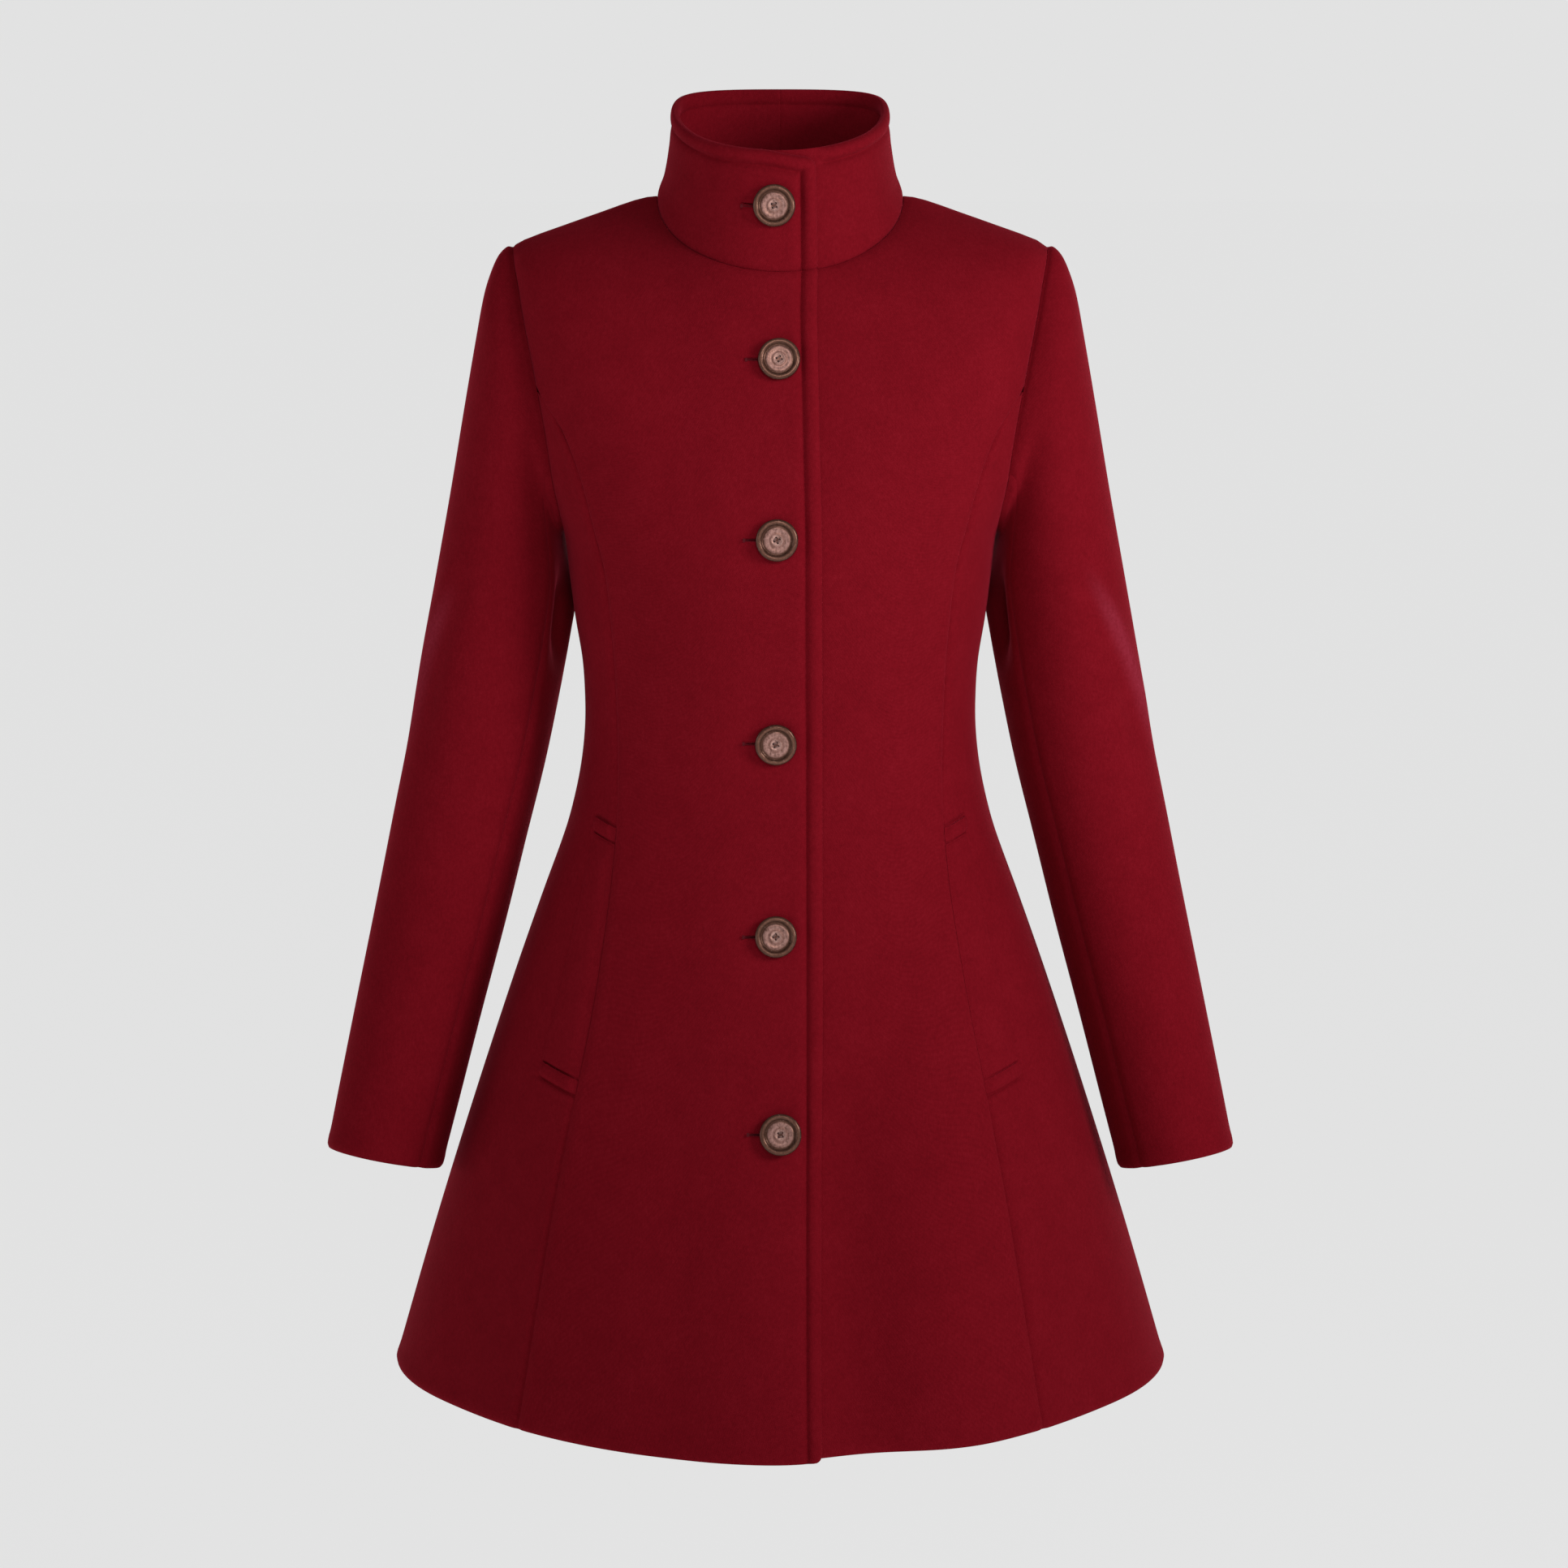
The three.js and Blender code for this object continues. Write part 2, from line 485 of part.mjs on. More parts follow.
// The wearer's right front, which laps over: its edge lies on the wearer's left
function rightFrontGrid() {
  return LEVELS.map((level) => {
    const edge = frontEdgeX(level);
    const end = -frontPanelEnd(level);
    const gap = halfGapAngle(end, level);
    const last = angleAtX(-LAP_EDGE, level);
    const stitched = STITCHED_EDGE.map((s) => ({ x: edge - s.distance, distance: s.distance }));
    const plain = LAP_COLUMNS.map((x) => ({ x, distance: edge - x }));
    const row = [...stitched, ...plain].map(({ x, distance }) => {
      const low = level === HEM_LEVEL ? cornerDrop(distance, HEM_CORNER) : 0;
      return rightFrontPoint(angleAtX(x, level), level - low, distance);
    });
    for (let k = 1; k <= FRONT_REST; k += 1) {
      const angle = mix(last, end + gap, k / FRONT_REST);
      row.push(rightFrontPoint(angle, level, edge + LAP_EDGE));
    }
    const inSeam = level < armholeLevel(PRINCESS_START) + 1e-6 && onArmhole(level);
    if (inSeam) row.push(flipPoint(mitreArmhole(flipPoint(row.pop()), -end, level, true)));
    return row;
  });
}
const flipPoint = (p) => ({ at: flipX(p.at), out: flipX(p.out), wall: p.wall });
function rightFrontPoint(angle, level, distance) {
  const lift = lapLift(bodyPoint(angle, level).x);
  return bodyWall(angle, level, lift + edgeRaise(distance), edgeExtra(distance));
}
const cornerDrop = (distance, radius) =>
  distance < radius ? radius - Math.sqrt(radius ** 2 - (radius - distance) ** 2) : 0;

// The wearer's left front, which lies under the lap. Its hem rises a little towards its edge.
const LEFT_HEM_RISE = 2.5;
function leftFrontGrid() {
  return LEVELS.map((level) => {
    const end = frontPanelEnd(level);
    const gap = halfGapAngle(end, level);
    const angles = underLapColumns(level).map((x) => angleAtX(x, level));
    const last = angles[angles.length - 1];
    for (let k = 1; k <= FRONT_REST; k += 1) angles.push(mix(last, end - gap, k / FRONT_REST));
    const row = angles.map((angle) => {
      const x = bodyPoint(angle, level).x;
      const rise = level === HEM_LEVEL ? LEFT_HEM_RISE * smooth((150 - x) / 120) : 0;
      const sink = collarSink(x) * (1 - smooth(level / 30));
      return bodyWall(angle, level - rise, -sink);
    });
    const inSeam = level < armholeLevel(PRINCESS_START) + 1e-6 && onArmhole(level);
    if (inSeam) row.push(mitreArmhole(row.pop(), end, level, true));
    return row;
  });
}

// The side front, between the princess seam and the side seam, on the wearer's left. Its first
// three columns carry the pocket welt, and its rows slant there.
const WELT_COLUMNS = 3;
const SIDE_REST = 4;
function sideFrontGrid() {
  const start = LEVELS.findIndex((level) => level >= armholeLevel(PRINCESS_START) - 1e-6);
  return LEVELS.slice(start).map((level) => {
    const gap = halfGapAngle(QUARTER, level);
    const from = frontPanelEnd(level) + gap;
    const to = armholeFront(level) - (onArmhole(level) ? 0 : gap);
    const near = smooth((level - POCKET.fadeTop) / 40) * smooth((POCKET.fadeBottom - level) / 60);
    const slant = POCKET_SLANT * weltWidth(level) * near;
    const welt = Math.min(angleAlong(from, weltWidth(level), level), mix(from, to, 0.45));
    const angles = [from, mix(from, welt, 0.5), welt];
    for (let k = 1; k <= SIDE_REST; k += 1) angles.push(mix(welt, to, k / SIDE_REST));
    const row = angles.map((angle, j) => {
      const share = j < WELT_COLUMNS ? j / (WELT_COLUMNS - 1) : 1 - (j - WELT_COLUMNS + 1) / SIDE_REST;
      return bodyWall(angle, level - slant * share);
    });
    if (!onArmhole(level)) return row;
    // The pointed top lies wholly on the armhole's edge
    const onEdge = level < armholeLevel(PRINCESS_START) + 1e-6 ? 0 : row.length - 1;
    return row.map((p, j) => (j < onEdge ? p : mitreArmhole(p, to, level, true)));
  });
}

// Half of the back, on the wearer's left, from the side and shoulder seams to the centre seam
const BACK_COLUMNS = 9;
function backGrid() {
  return LEVELS.map((level) => {
    const gap = halfGapAngle(Math.PI - ANGLE_STEP, level);
    const seam = !inArmhole(level);
    const from = armholeBack(level) + (seam ? gap : 0);
    const to = Math.PI - gap;
    const row = [];
    for (let k = 0; k < BACK_COLUMNS; k += 1) {
      row.push(bodyWall(mix(from, to, k / (BACK_COLUMNS - 1)), level));
    }
    if (onArmhole(level)) row.unshift(mitreArmhole(row.shift(), from, level, false));
    return row;
  });
}

// Half of the collar. Its columns stand on the columns of the front and back panels.
const COLLAR_LEVELS = [0.28, 0.56, 0.8];
function collarGrid(angles, distanceOf, offsetOf, reliefOf, corner) {
  const gapRise = (angle) => SEAM_GAP / collarPoint(angle, 1).distanceTo(collarPoint(angle, 0));
  const column = (angle) => {
    const tall = collarPoint(angle, 1).distanceTo(collarPoint(angle, 0));
    const distance = distanceOf(angle);
    const cut = corner ? cornerDrop(distance, corner) : 0;
    const band = STITCHED_EDGE.map((s) => ({ rise: 1 - (s.distance + cut) / tall, fromRim: s.distance }));
    const foot = gapRise(angle);
    const top = band[band.length - 1].rise;
    const plain = COLLAR_LEVELS.map((share) => ({ rise: mix(foot, top, share), fromRim: Infinity }));
    plain.reverse();
    return [...band, ...plain, { rise: foot, fromRim: Infinity }].map(({ rise, fromRim }) => {
      const out = rise === foot ? neckMitre(angle) : collarNormal(angle, rise);
      const near = Math.min(fromRim, distance);
      const rim = fromRim === 0 ? 1 : 0;
      const at = collarPoint(angle, rise);
      // The two halves lie over each other in front only
      const inFront = Math.cos(angle) > 0;
      const relief = inFront ? reliefOf(at.x) : 1;
      const raise = (inFront ? offsetOf(at.x) : 0) + edgeRaise(near) * relief;
      const wall = COLLAR_CLOTH + edgeExtra(near) * relief - rim;
      return { at: at.addScaledVector(out, raise), out, wall };
    });
  };
  const columns = angles.map(column);
  return columns[0].map((_, i) => columns.map((c) => c[i]));
}
function neckAngles(xs, sign) {
  const front = xs.map((x) => angleAtX(x, 0));
  const last = front[front.length - 1];
  for (let k = 1; k <= FRONT_REST; k += 1) front.push(mix(last, sign * QUARTER, k / FRONT_REST));
  const gap = halfGapAngle(Math.PI - ANGLE_STEP, 0);
  for (let k = 1; k < BACK_COLUMNS; k += 1) {
    front.push(sign * mix(QUARTER, Math.PI - gap, k / (BACK_COLUMNS - 1)));
  }
  return front;
}
function rightCollarGrid() {
  const edge = frontEdgeX(0);
  const xs = [...STITCHED_EDGE.map((s) => edge - s.distance), ...LAP_COLUMNS];
  const distanceOf = (angle) => (angle > -QUARTER ? Math.max(0, edge - bodyPoint(angle, 0).x) : Infinity);
  return collarGrid(neckAngles(xs, -1), distanceOf, lapLift, () => 1, COLLAR_CORNER);
}
function leftCollarGrid() {
  const relief = (x) => 1 - collarSink(x) / COLLAR_SINK;
  return collarGrid(neckAngles(underLapColumns(0), 1), () => Infinity, (x) => -collarSink(x), relief, 0);
}

// One part of the sleeve between two turns, on the wearer's left. Its seams start at equal shares
// of the armhole, and the front one moves to the inner side of the sleeve towards the elbow.
const SEAM_TURN = Math.acos(1 - 2 * SLEEVE_SEAM);
const FRONT_SEAM_SHIFT = 0.28;
const ELBOW_ROW = 10;
function sleeveTurn(turn, row) {
  if (turn < 0 || turn > Math.PI) return turn;
  const shift = FRONT_SEAM_SHIFT * smooth(row / ELBOW_ROW);
  if (turn <= SEAM_TURN) return turn * (1 + shift / SEAM_TURN);
  return Math.PI - (Math.PI - turn) * (1 - shift / (Math.PI - SEAM_TURN));
}
const SLEEVE_RADIUS = 50;
const GAP_TURN = SEAM_GAP / 2 / SLEEVE_RADIUS;
function sleeveGrid(turns) {
  const grid = [];
  for (let row = 0; row < SLEEVE_ROWS; row += 1) {
    grid.push(turns.map((turn, j) => {
      const ends = (j === 0 ? 1 : 0) - (j === turns.length - 1 ? 1 : 0);
      const here = sleeveTurn(turn, row) + ends * GAP_TURN;
      const at = sleevePoint(wrapTurn(here), row);
      if (row > 0) return { at, out: sleeveNormal(wrapTurn(here), row), wall: CLOTH };
      const inFront = wrapTurn(here) >= 0;
      const level = armholeLevel((1 - Math.cos(here)) / 2);
      const angle = inFront ? armholeFront(level) : armholeBack(level);
      return { at, out: armholeMitre(wrapTurn(here), angle, level), wall: CLOTH };
    }));
  }
  return grid;
}
const wrapTurn = (turn) => (turn > Math.PI ? turn - 2 * Math.PI : turn);
const shareTurns = (shares) => shares.map((share) => Math.acos(1 - 2 * share));
function upperSleeveGrid() {
  const turns = shareTurns(ARMHOLE_SHARES.filter((s) => s <= SLEEVE_SEAM));
  return sleeveGrid([...turns.slice(1).reverse().map((t) => -t), ...turns]);
}
function underSleeveGrid() {
  const turns = shareTurns(ARMHOLE_SHARES.filter((s) => s >= SLEEVE_SEAM));
  return sleeveGrid([...turns, ...turns.slice(0, -1).reverse().map((t) => 2 * Math.PI - t)]);
}

// Flat pieces that lie on the side front, made from its points between two of its rows
function onPanel(panel, fromLevel, toLevel, wall) {
  const start = LEVELS.length - panel.length;
  const first = LEVELS.indexOf(fromLevel) - start;
  const last = LEVELS.indexOf(toLevel) - start;
  const rows = panel.slice(first, last + 1).map((row) => row.slice(0, WELT_COLUMNS));
  const drawIn = (end, next) => end.map((p, j) => ({
    ...p, at: p.at.clone().addScaledVector(next[j].at.clone().sub(p.at).normalize(), SEAM_GAP / 2),
  }));
  const grid = [...rows];
  grid[0] = drawIn(rows[0], rows[1]);
  grid[rows.length - 1] = drawIn(rows[rows.length - 1], rows[rows.length - 2]);
  return grid.map((row) => row.map((p) => ({
    at: p.at.clone().addScaledVector(p.out, SEAM_GAP + wall), out: p.out, wall,
  })));
}

// The button stands on its local XY plane, its thread shank reaching down through the cloth
function buttonGeometry(shank) {
  const profile = [
    new THREE.Vector2(0, -shank),
    new THREE.Vector2(SHANK_RADIUS, -shank),
    new THREE.Vector2(SHANK_RADIUS, 0),
    ...BUTTON_FACE.map((p) => new THREE.Vector2(p.radius, p.height)),
  ];
  const disc = new THREE.LatheGeometry(profile, BUTTON_SIDES).rotateX(QUARTER);
  let solid = toSolid(disc);
  for (let k = 0; k < STITCH_HOLE.count; k += 1) {
    const turn = ((k + 0.5) * 2 * Math.PI) / STITCH_HOLE.count;
    const hole = new THREE.CylinderGeometry(STITCH_HOLE.radius, STITCH_HOLE.radius, 12, STITCH_HOLE.sides)
      .rotateX(QUARTER)
      .translate(STITCH_HOLE.out * Math.cos(turn), STITCH_HOLE.out * Math.sin(turn), 3);
    solid = solid.subtract(toSolid(hole));
  }
  return fromSolid(solid);
}

// The buttonhole's cutter: an eyelet at the button's centre with a slit that narrows to one side
function buttonholeGeometry() {
  const outline = new THREE.Shape();
  const open = Math.asin(SLIT_WIDE / 2 / EYELET_RADIUS);
  outline.moveTo(-SLIT_LENGTH, -SLIT_NARROW / 2);
  outline.lineTo(-EYELET_RADIUS * Math.cos(open), -SLIT_WIDE / 2);
  outline.absarc(0, 0, EYELET_RADIUS, Math.PI + open, 3 * Math.PI - open, false);
  outline.lineTo(-SLIT_LENGTH, SLIT_NARROW / 2);
  const CUT = 20;
  return new THREE.ExtrudeGeometry(outline, { depth: CUT, bevelEnabled: false, curveSegments: 8 })
    .translate(0, 0, -CUT / 2);
}

// Solids for cutting, and back again
function toSolid(geometry) {
  const bare = geometry.clone();
  ["normal", "uv"].forEach((name) => bare.deleteAttribute(name));
  const merged = mergeVertices(bare, 1e-4);
  const made = new wasm.Manifold(new wasm.Mesh({
    numProp: 3,
    vertProperties: Float32Array.from(merged.getAttribute("position").array),
    triVerts: Uint32Array.from(merged.getIndex().array),
  }));
  if (made.volume() >= 0) return made;
  return toSolid(merged.setIndex(Array.from(merged.getIndex().array).reverse()));
}
function fromSolid(solid) {
  const mesh = solid.getMesh();
  return new THREE.BufferGeometry()
    .setAttribute("position", new THREE.Float32BufferAttribute(mesh.vertProperties, 3))
    .setIndex(Array.from(mesh.triVerts));
}

// Places of the buttons: the point on the upper front's face and its outward direction
function buttonPlaces() {
  const place = (at, out, onCollar) => ({ at: at.addScaledVector(out, LAP_LIFT), out, onCollar });
  const { x: topX, rise } = COLLAR_BUTTON;
  const topAngle = angleAtX(topX, 0);
  const top = place(collarPoint(topAngle, rise), collarNormal(topAngle, rise), true);
  const rest = FRONT_BUTTONS.map(({ x, z }) => {
    const level = solve((l) => -bodyPoint(0, l).z, 0, HEM_LEVEL, -z);
    const angle = angleAtX(x, level);
    return place(bodyPoint(angle, level), bodyNormal(angle, level), false);
  });
  return [top, ...rest];
}

// A frame whose Z axis is a direction and whose X axis points to the wearer's left
function frameAt({ at, out }) {
  const right = new THREE.Vector3(1, 0, 0).addScaledVector(out, -out.x).normalize();
  const up = out.clone().cross(right);
  return new THREE.Matrix4().makeBasis(right, up, out).setPosition(at);
}
function cutButtonholes(geometry, places) {
  let solid = toSolid(geometry);
  places.forEach((place) => {
    solid = solid.subtract(toSolid(buttonholeGeometry().applyMatrix4(frameAt(place))));
  });
  return fromSolid(solid);
}

const wool = new THREE.MeshStandardMaterial({ color: RED, roughness: 0.95, metalness: 0 });
const horn = new THREE.MeshStandardMaterial({ color: BROWN, roughness: 0.35, metalness: 0 });
const coat = new THREE.Group();
function add(name, geometry, material = wool) {
  geometry.computeVertexNormals();
  const mesh = new THREE.Mesh(geometry, material);
  mesh.name = name;
  coat.add(mesh);
  return mesh;
}
function addPair(name, grid) {
  add(name + "_left", wallGeometry(grid));
  add(name + "_right", wallGeometry(mirrored(grid)));
}

const places = buttonPlaces();
add("front_right", cutButtonholes(wallGeometry(rightFrontGrid()), places.filter((p) => !p.onCollar)));
add("front_left", wallGeometry(leftFrontGrid()));
add("collar_right", cutButtonholes(wallGeometry(rightCollarGrid()), places.filter((p) => p.onCollar)));
add("collar_left", wallGeometry(leftCollarGrid()));
const sideFront = sideFrontGrid();
addPair("side_front", sideFront);
addPair("back", backGrid());
addPair("upper_sleeve", upperSleeveGrid());
addPair("under_sleeve", underSleeveGrid());
addPair("pocket_welt", onPanel(sideFront, POCKET.weltTop, POCKET.weltBottom, WELT_CLOTH));
addPair("pocket_bar_top", onPanel(sideFront, POCKET.barTop, POCKET.weltTop, BAR_CLOTH));
addPair("pocket_bar_bottom", onPanel(sideFront, POCKET.weltBottom, POCKET.barBottom, BAR_CLOTH));
places.forEach((place, i) => {
  const layers = place.onCollar ? LAP_LIFT + COLLAR_SINK : LAP_LIFT;
  const shank = BUTTON_STAND + layers - SHANK_GAP;
  const button = add(`button_${i + 1}`, buttonGeometry(shank), horn);
  const seat = { at: place.at.clone().addScaledVector(place.out, BUTTON_STAND), out: place.out };
  button.applyMatrix4(frameAt(seat));
});

export default coat;
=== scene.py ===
"""The look of a fitted, flared coat of red wool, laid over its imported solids.

Metres, +Z up. The front faces -Y and +X is the wearer's left. The tables and the surfaces that
they describe are in millimetres, and become metres when a piece's points are placed.
"""

import math

import bmesh
import bpy
import numpy as np
from mathutils import Matrix, Vector


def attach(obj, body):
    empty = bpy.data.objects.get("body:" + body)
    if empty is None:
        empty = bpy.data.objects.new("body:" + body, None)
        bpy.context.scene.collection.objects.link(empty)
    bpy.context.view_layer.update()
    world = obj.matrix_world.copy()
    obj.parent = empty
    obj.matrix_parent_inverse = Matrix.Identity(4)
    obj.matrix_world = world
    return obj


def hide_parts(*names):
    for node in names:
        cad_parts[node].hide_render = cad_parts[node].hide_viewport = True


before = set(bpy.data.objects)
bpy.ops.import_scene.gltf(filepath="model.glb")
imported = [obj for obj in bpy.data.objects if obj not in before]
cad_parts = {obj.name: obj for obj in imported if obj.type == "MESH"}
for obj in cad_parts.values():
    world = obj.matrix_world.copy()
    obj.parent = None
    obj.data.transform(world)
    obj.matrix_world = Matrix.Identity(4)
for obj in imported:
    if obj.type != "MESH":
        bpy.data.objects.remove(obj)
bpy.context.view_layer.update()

MM = 0.001
QUARTER = math.pi / 2
TINY = 1e-6

CLOTH = 2.5  # thickness of the coat cloth
COLLAR_CLOTH = 4.5  # thickness of the collar's two layers
SEAM_GAP = -0.1  # below zero, as two pieces run a little into each other in their seam
LAP_LIFT = 3.0  # how far the upper front stands out over the lower one
COLLAR_SINK = 2.0  # how far the lower end of the collar sinks under the upper one
LAP_EDGE = 29  # reach of either front past the centre line
TIP_LEVEL = 35  # the shoulder's tip
UNDERARM_LEVEL = 230
HEM_LEVEL = 826
ARMHOLE_DEPTH = {"front": 56, "back": 54}  # from the shoulder line to the armhole's edge
ARMHOLE_SQUARE = 2.3  # power of the armhole's curve, where 2 is an ellipse
PRINCESS_START = 0.43  # the front seam's start as a share of the armhole's height
SLEEVE_SEAM = 0.74  # the sleeve's two seams, in the same way
COLLAR_CORNER = 8  # radius of the collar's corner at the lap
LAP_RIM_SINK = 5.5  # how far the collar's rim falls towards the lap's edge
HEM_CORNER = 6  # radius of the lap's corner at the hem
SLEEVE_SET = 0.15  # how far the sleeve stands outside the armhole
CAP_ROWS = 6  # rows over which the armhole's shape turns into the sleeve's
FRONT_SEAM_SHIFT = 0.28  # turn by which the sleeve's front seam moves inwards at the elbow
ELBOW_ROW = 10
POCKET_SLANT = 0.22  # rise of the pocket's bars for their width
LEFT_HEM_RISE = 2.5  # how far the lower front's hem rises at its edge
BUTTON_STAND = 0.9  # gap between a button and the cloth
EYELET_REACH = 2.3  # reach of a buttonhole past its button's middle
SLIT_REACH = 22  # reach of a buttonhole the other way

# Rings of the body: level, half width, front, back, front drop, back drop, squareness of the plan
# curve and roundness of its fall to the centre
BODY_RINGS = (
    (0, 85, 88, 60, 50, 8, 2.0, 1.0),
    (3, 99, 89.7, 65, 53, 13, 1.98, 1.1),
    (11, 122, 93.6, 73.5, 59, 20, 2.1, 1.33),
    (22, 153, 98.2, 82.6, 65, 26, 2.0, 1.62),
    (30, 175, 101.6, 88.6, 69, 29, 1.93, 1.7),
    (35, 183, 103.4, 91.4, 71, 30, 1.98, 1.53),
    (54, 181.5, 107.8, 97.5, 69, 29, 2.3, 1.5),
    (84, 179, 114.3, 104.5, 63, 26, 2.35, 1.64),
    (132, 173, 123.5, 112.5, 50, 20, 2.28, 1.62),
    (181, 165, 129.5, 114.5, 36, 13, 2.2, 1.6),
    (210, 156, 130.8, 113, 28, 9, 2.2, 1.6),
    (230, 149.5, 130, 111, 23, 7, 2.2, 1.6),
    (260, 146, 126, 107, 16, 4, 2.2, 1.6),
    (289, 142.4, 121, 102, 10, 2, 2.2, 1.6),
    (320, 137.6, 115, 97, 5, 1, 2.2, 1.6),
    (350, 136.1, 110.5, 93, 1, 0, 2.2, 1.6),
    (371, 136.8, 109, 91, 0, 0, 2.2, 1.6),
    (394, 139.6, 110.5, 93, 0, 0, 2.2, 1.6),
    (417, 144.4, 114, 98, 0, 0, 2.17, 1.6),
    (440, 150.9, 119, 105, 0, 0, 2.15, 1.6),
    (487, 168.1, 131, 122, 0, 0, 2.12, 1.6),
    (545, 188.6, 146, 140, 0, 0, 2.1, 1.6),
    (634, 218.2, 170, 166, 0, 0, 2.0, 1.6),
    (724, 246.5, 195, 190, 1, 0, 1.88, 1.6),
    (826, 276.5, 225, 218, 2, 1, 1.75, 1.6),
)

# Behind the neck the collar grows squarer in plan towards its rim, and its rim levels off
RIM_SQUARE, RIM_ARCH = 0.7, 0.4

# Rings of the collar: rise from seam to rim, half width, front, back, and the ring's height at its
# side, front and back
COLLAR_RINGS = (
    (0, 85, 88, 60, 0, -50, -8),
    (0.1, 82, 88, 59, 6, -42, 0),
    (0.25, 79, 87.5, 57.5, 15, -30, 12),
    (0.5, 76.3, 86, 55.5, 30, -10, 32),
    (0.75, 74.6, 84.5, 54, 44, 10, 52),
    (1, 73.6, 83, 53, 58, 30, 72),
)

# Rings of the sleeve: row, outer rail, inner rail, reach to the front and back, how far its middle
# lies behind the shoulder line, how much further back its inner side is, and its front edge's lift
SLEEVE_RINGS = (
    (0, 183, -35, 149.5, -230, 56, 54, 0, 0, 0),
    (1, 187.5, -35.5, 150.6, -231, 57, 55.5, 0, 1, 0),
    (2, 193.5, -42, 151.3, -233, 58, 57, 0, 3, 0),
    (3, 198.6, -53, 150.9, -236.5, 59, 58, 0, 8, 0),
    (4, 203.5, -69, 150, -242, 59.5, 59, 0, 13, 0),
    (5, 209.2, -98, 148.2, -251, 60, 60, 0.5, 17, 0),
    (6, 217.7, -144, 145.2, -263, 60, 60, 1, 20, 0),
    (7, 227.8, -200, 143.2, -280, 59, 60, 2, 20, 0),
    (8, 238.5, -256, 146.8, -303, 58, 59, 3, 16, 0),
    (9, 249.3, -313, 153, -336, 56.5, 58, 4, 9, 0),
    (10, 259.6, -371, 164.5, -391, 54.5, 56, 3, 3, 1),
    (11, 271.4, -428, 178.7, -447, 52.5, 53.5, 0, 0, 3),
    (12, 283.3, -486.5, 193.4, -505, 50.5, 51, -5, 0, 5),
    (13, 297.5, -555, 211.4, -572, 48, 48, -13, 0, 7),
    (14, 310.3, -617, 227.3, -633, 46, 45.5, -20, 0, 8),
    (15, 319.7, -663.5, 239.6, -679.5, 44.5, 44, -25, 0, 8),
)

# The front princess seam by level and distance from the centre line seen from the front
PRINCESS_LINE = (
    (119, 161.5), (133, 149), (165, 136), (210, 126), (245, 119.6), (296, 115), (350, 112.5),
    (413, 111.8), (465, 116), (526, 124.5), (560, 130.6), (594, 137.7), (634, 146), (673, 153.8),
    (724, 162.5), (826, 179.3),
)
WELT_WIDTH = ((119, 18), (420, 23), (600, 36), (826, 46))
FRONT_EDGE = ((0, 24.6), (15, 24.2), (60, 25.6), (180, 27.4), (350, 28.2), (826, 28.8))

# Soft hanging folds of the skirt: angle from the centre front, half spread, and depth at the hem
SKIRT_FOLDS = ((0.3, 0.2, 6), (-1.04, 0.2, 2.2), (1.04, 0.2, 2.2), (-2.45, 0.24, 7.5), (2.45, 0.24, 7.5))
FOLD_TOP = 560

# The stitched edge's relief by distance from the edge: rounded lip, full band, groove of the
# stitching, and the cloth's slight swell beyond it
EDGE_BAND = (
    (0, -1.4), (0.6, -0.3), (1.6, 0.65), (3.6, 1.45), (6.2, 1.4), (8.2, 0.75), (9.6, -0.6),
    (10.6, -1.55), (11.7, -1.1), (13.4, -0.25), (17, 0.2), (23, 0),
)

# Levels at which the bars and the welt of the pocket start and end
BAR_TOP, WELT_TOP, WELT_BOTTOM, BAR_BOTTOM = 425, 436, 592, 603

# The collar button by its distance from the centre line and its share of the collar's height, and
# the front's five by distance and height
COLLAR_BUTTON = (-3.7, 0.54)
FRONT_BUTTONS = ((-0.6, -107.5), (-2, -224), (-2.8, -362.5), (-2.8, -491), (0.2, -618.5))


def smooth(t):
    t = np.clip(t, 0, 1)
    return t * t * (3 - 2 * t)


def mix(a, b, t):
    return a + (b - a) * t


def shares(count):
    """Even shares up to 1, without the 0."""
    return np.arange(1, count + 1) / count


def bell(distance, width):
    """A hump of height 1 that fades to both sides."""
    return np.exp(-((distance / width) ** 2))


def curve(keys, values):
    """A smooth curve through a table's column, read at values of its key column."""
    keys, values = np.array(keys, float), np.array(values, float)
    last = len(keys) - 1
    before = np.maximum(np.arange(last + 1) - 1, 0)
    after = np.minimum(np.arange(last + 1) + 1, last)
    slope = (values[after] - values[before]) / (keys[after] - keys[before])

    def read(x):
        i = np.clip(np.searchsorted(keys, x) - 1, 0, last - 1)
        span = keys[i + 1] - keys[i]
        t = np.clip((x - keys[i]) / span, 0, 1)
        bend = t * (1 - t) * span * (slope[i] * (1 - t) - slope[i + 1] * t)
        return mix(values[i], values[i + 1], t * t * (3 - 2 * t)) + bend

    return read


def columns(table):
    rows = np.array(table, float)
    return [curve(rows[:, 0], rows[:, k]) for k in range(1, rows.shape[1])]


def steps(table):
    rows = np.array(table, float)
    return lambda x: np.interp(x, rows[:, 0], rows[:, 1])


body_half, body_front, body_back, front_drop, back_drop, body_square, body_round = columns(BODY_RINGS)
neck_half, neck_front, neck_back, neck_side_z, neck_front_z, neck_back_z = columns(COLLAR_RINGS)
(outer_x, outer_z, inner_x, inner_z, sleeve_front, sleeve_back, sleeve_middle, sleeve_behind,
 sleeve_lift) = columns(SLEEVE_RINGS)
(princess_x,) = columns(PRINCESS_LINE)
(edge_band,) = columns(EDGE_BAND)
welt_width = steps(WELT_WIDTH)
front_edge_x = steps(FRONT_EDGE)


def reach(angle, half, depth, square):
    across = np.abs(np.sin(angle)) / half
    along = np.abs(np.cos(angle)) / depth
    return (across**square + along**square) ** (-1 / square)


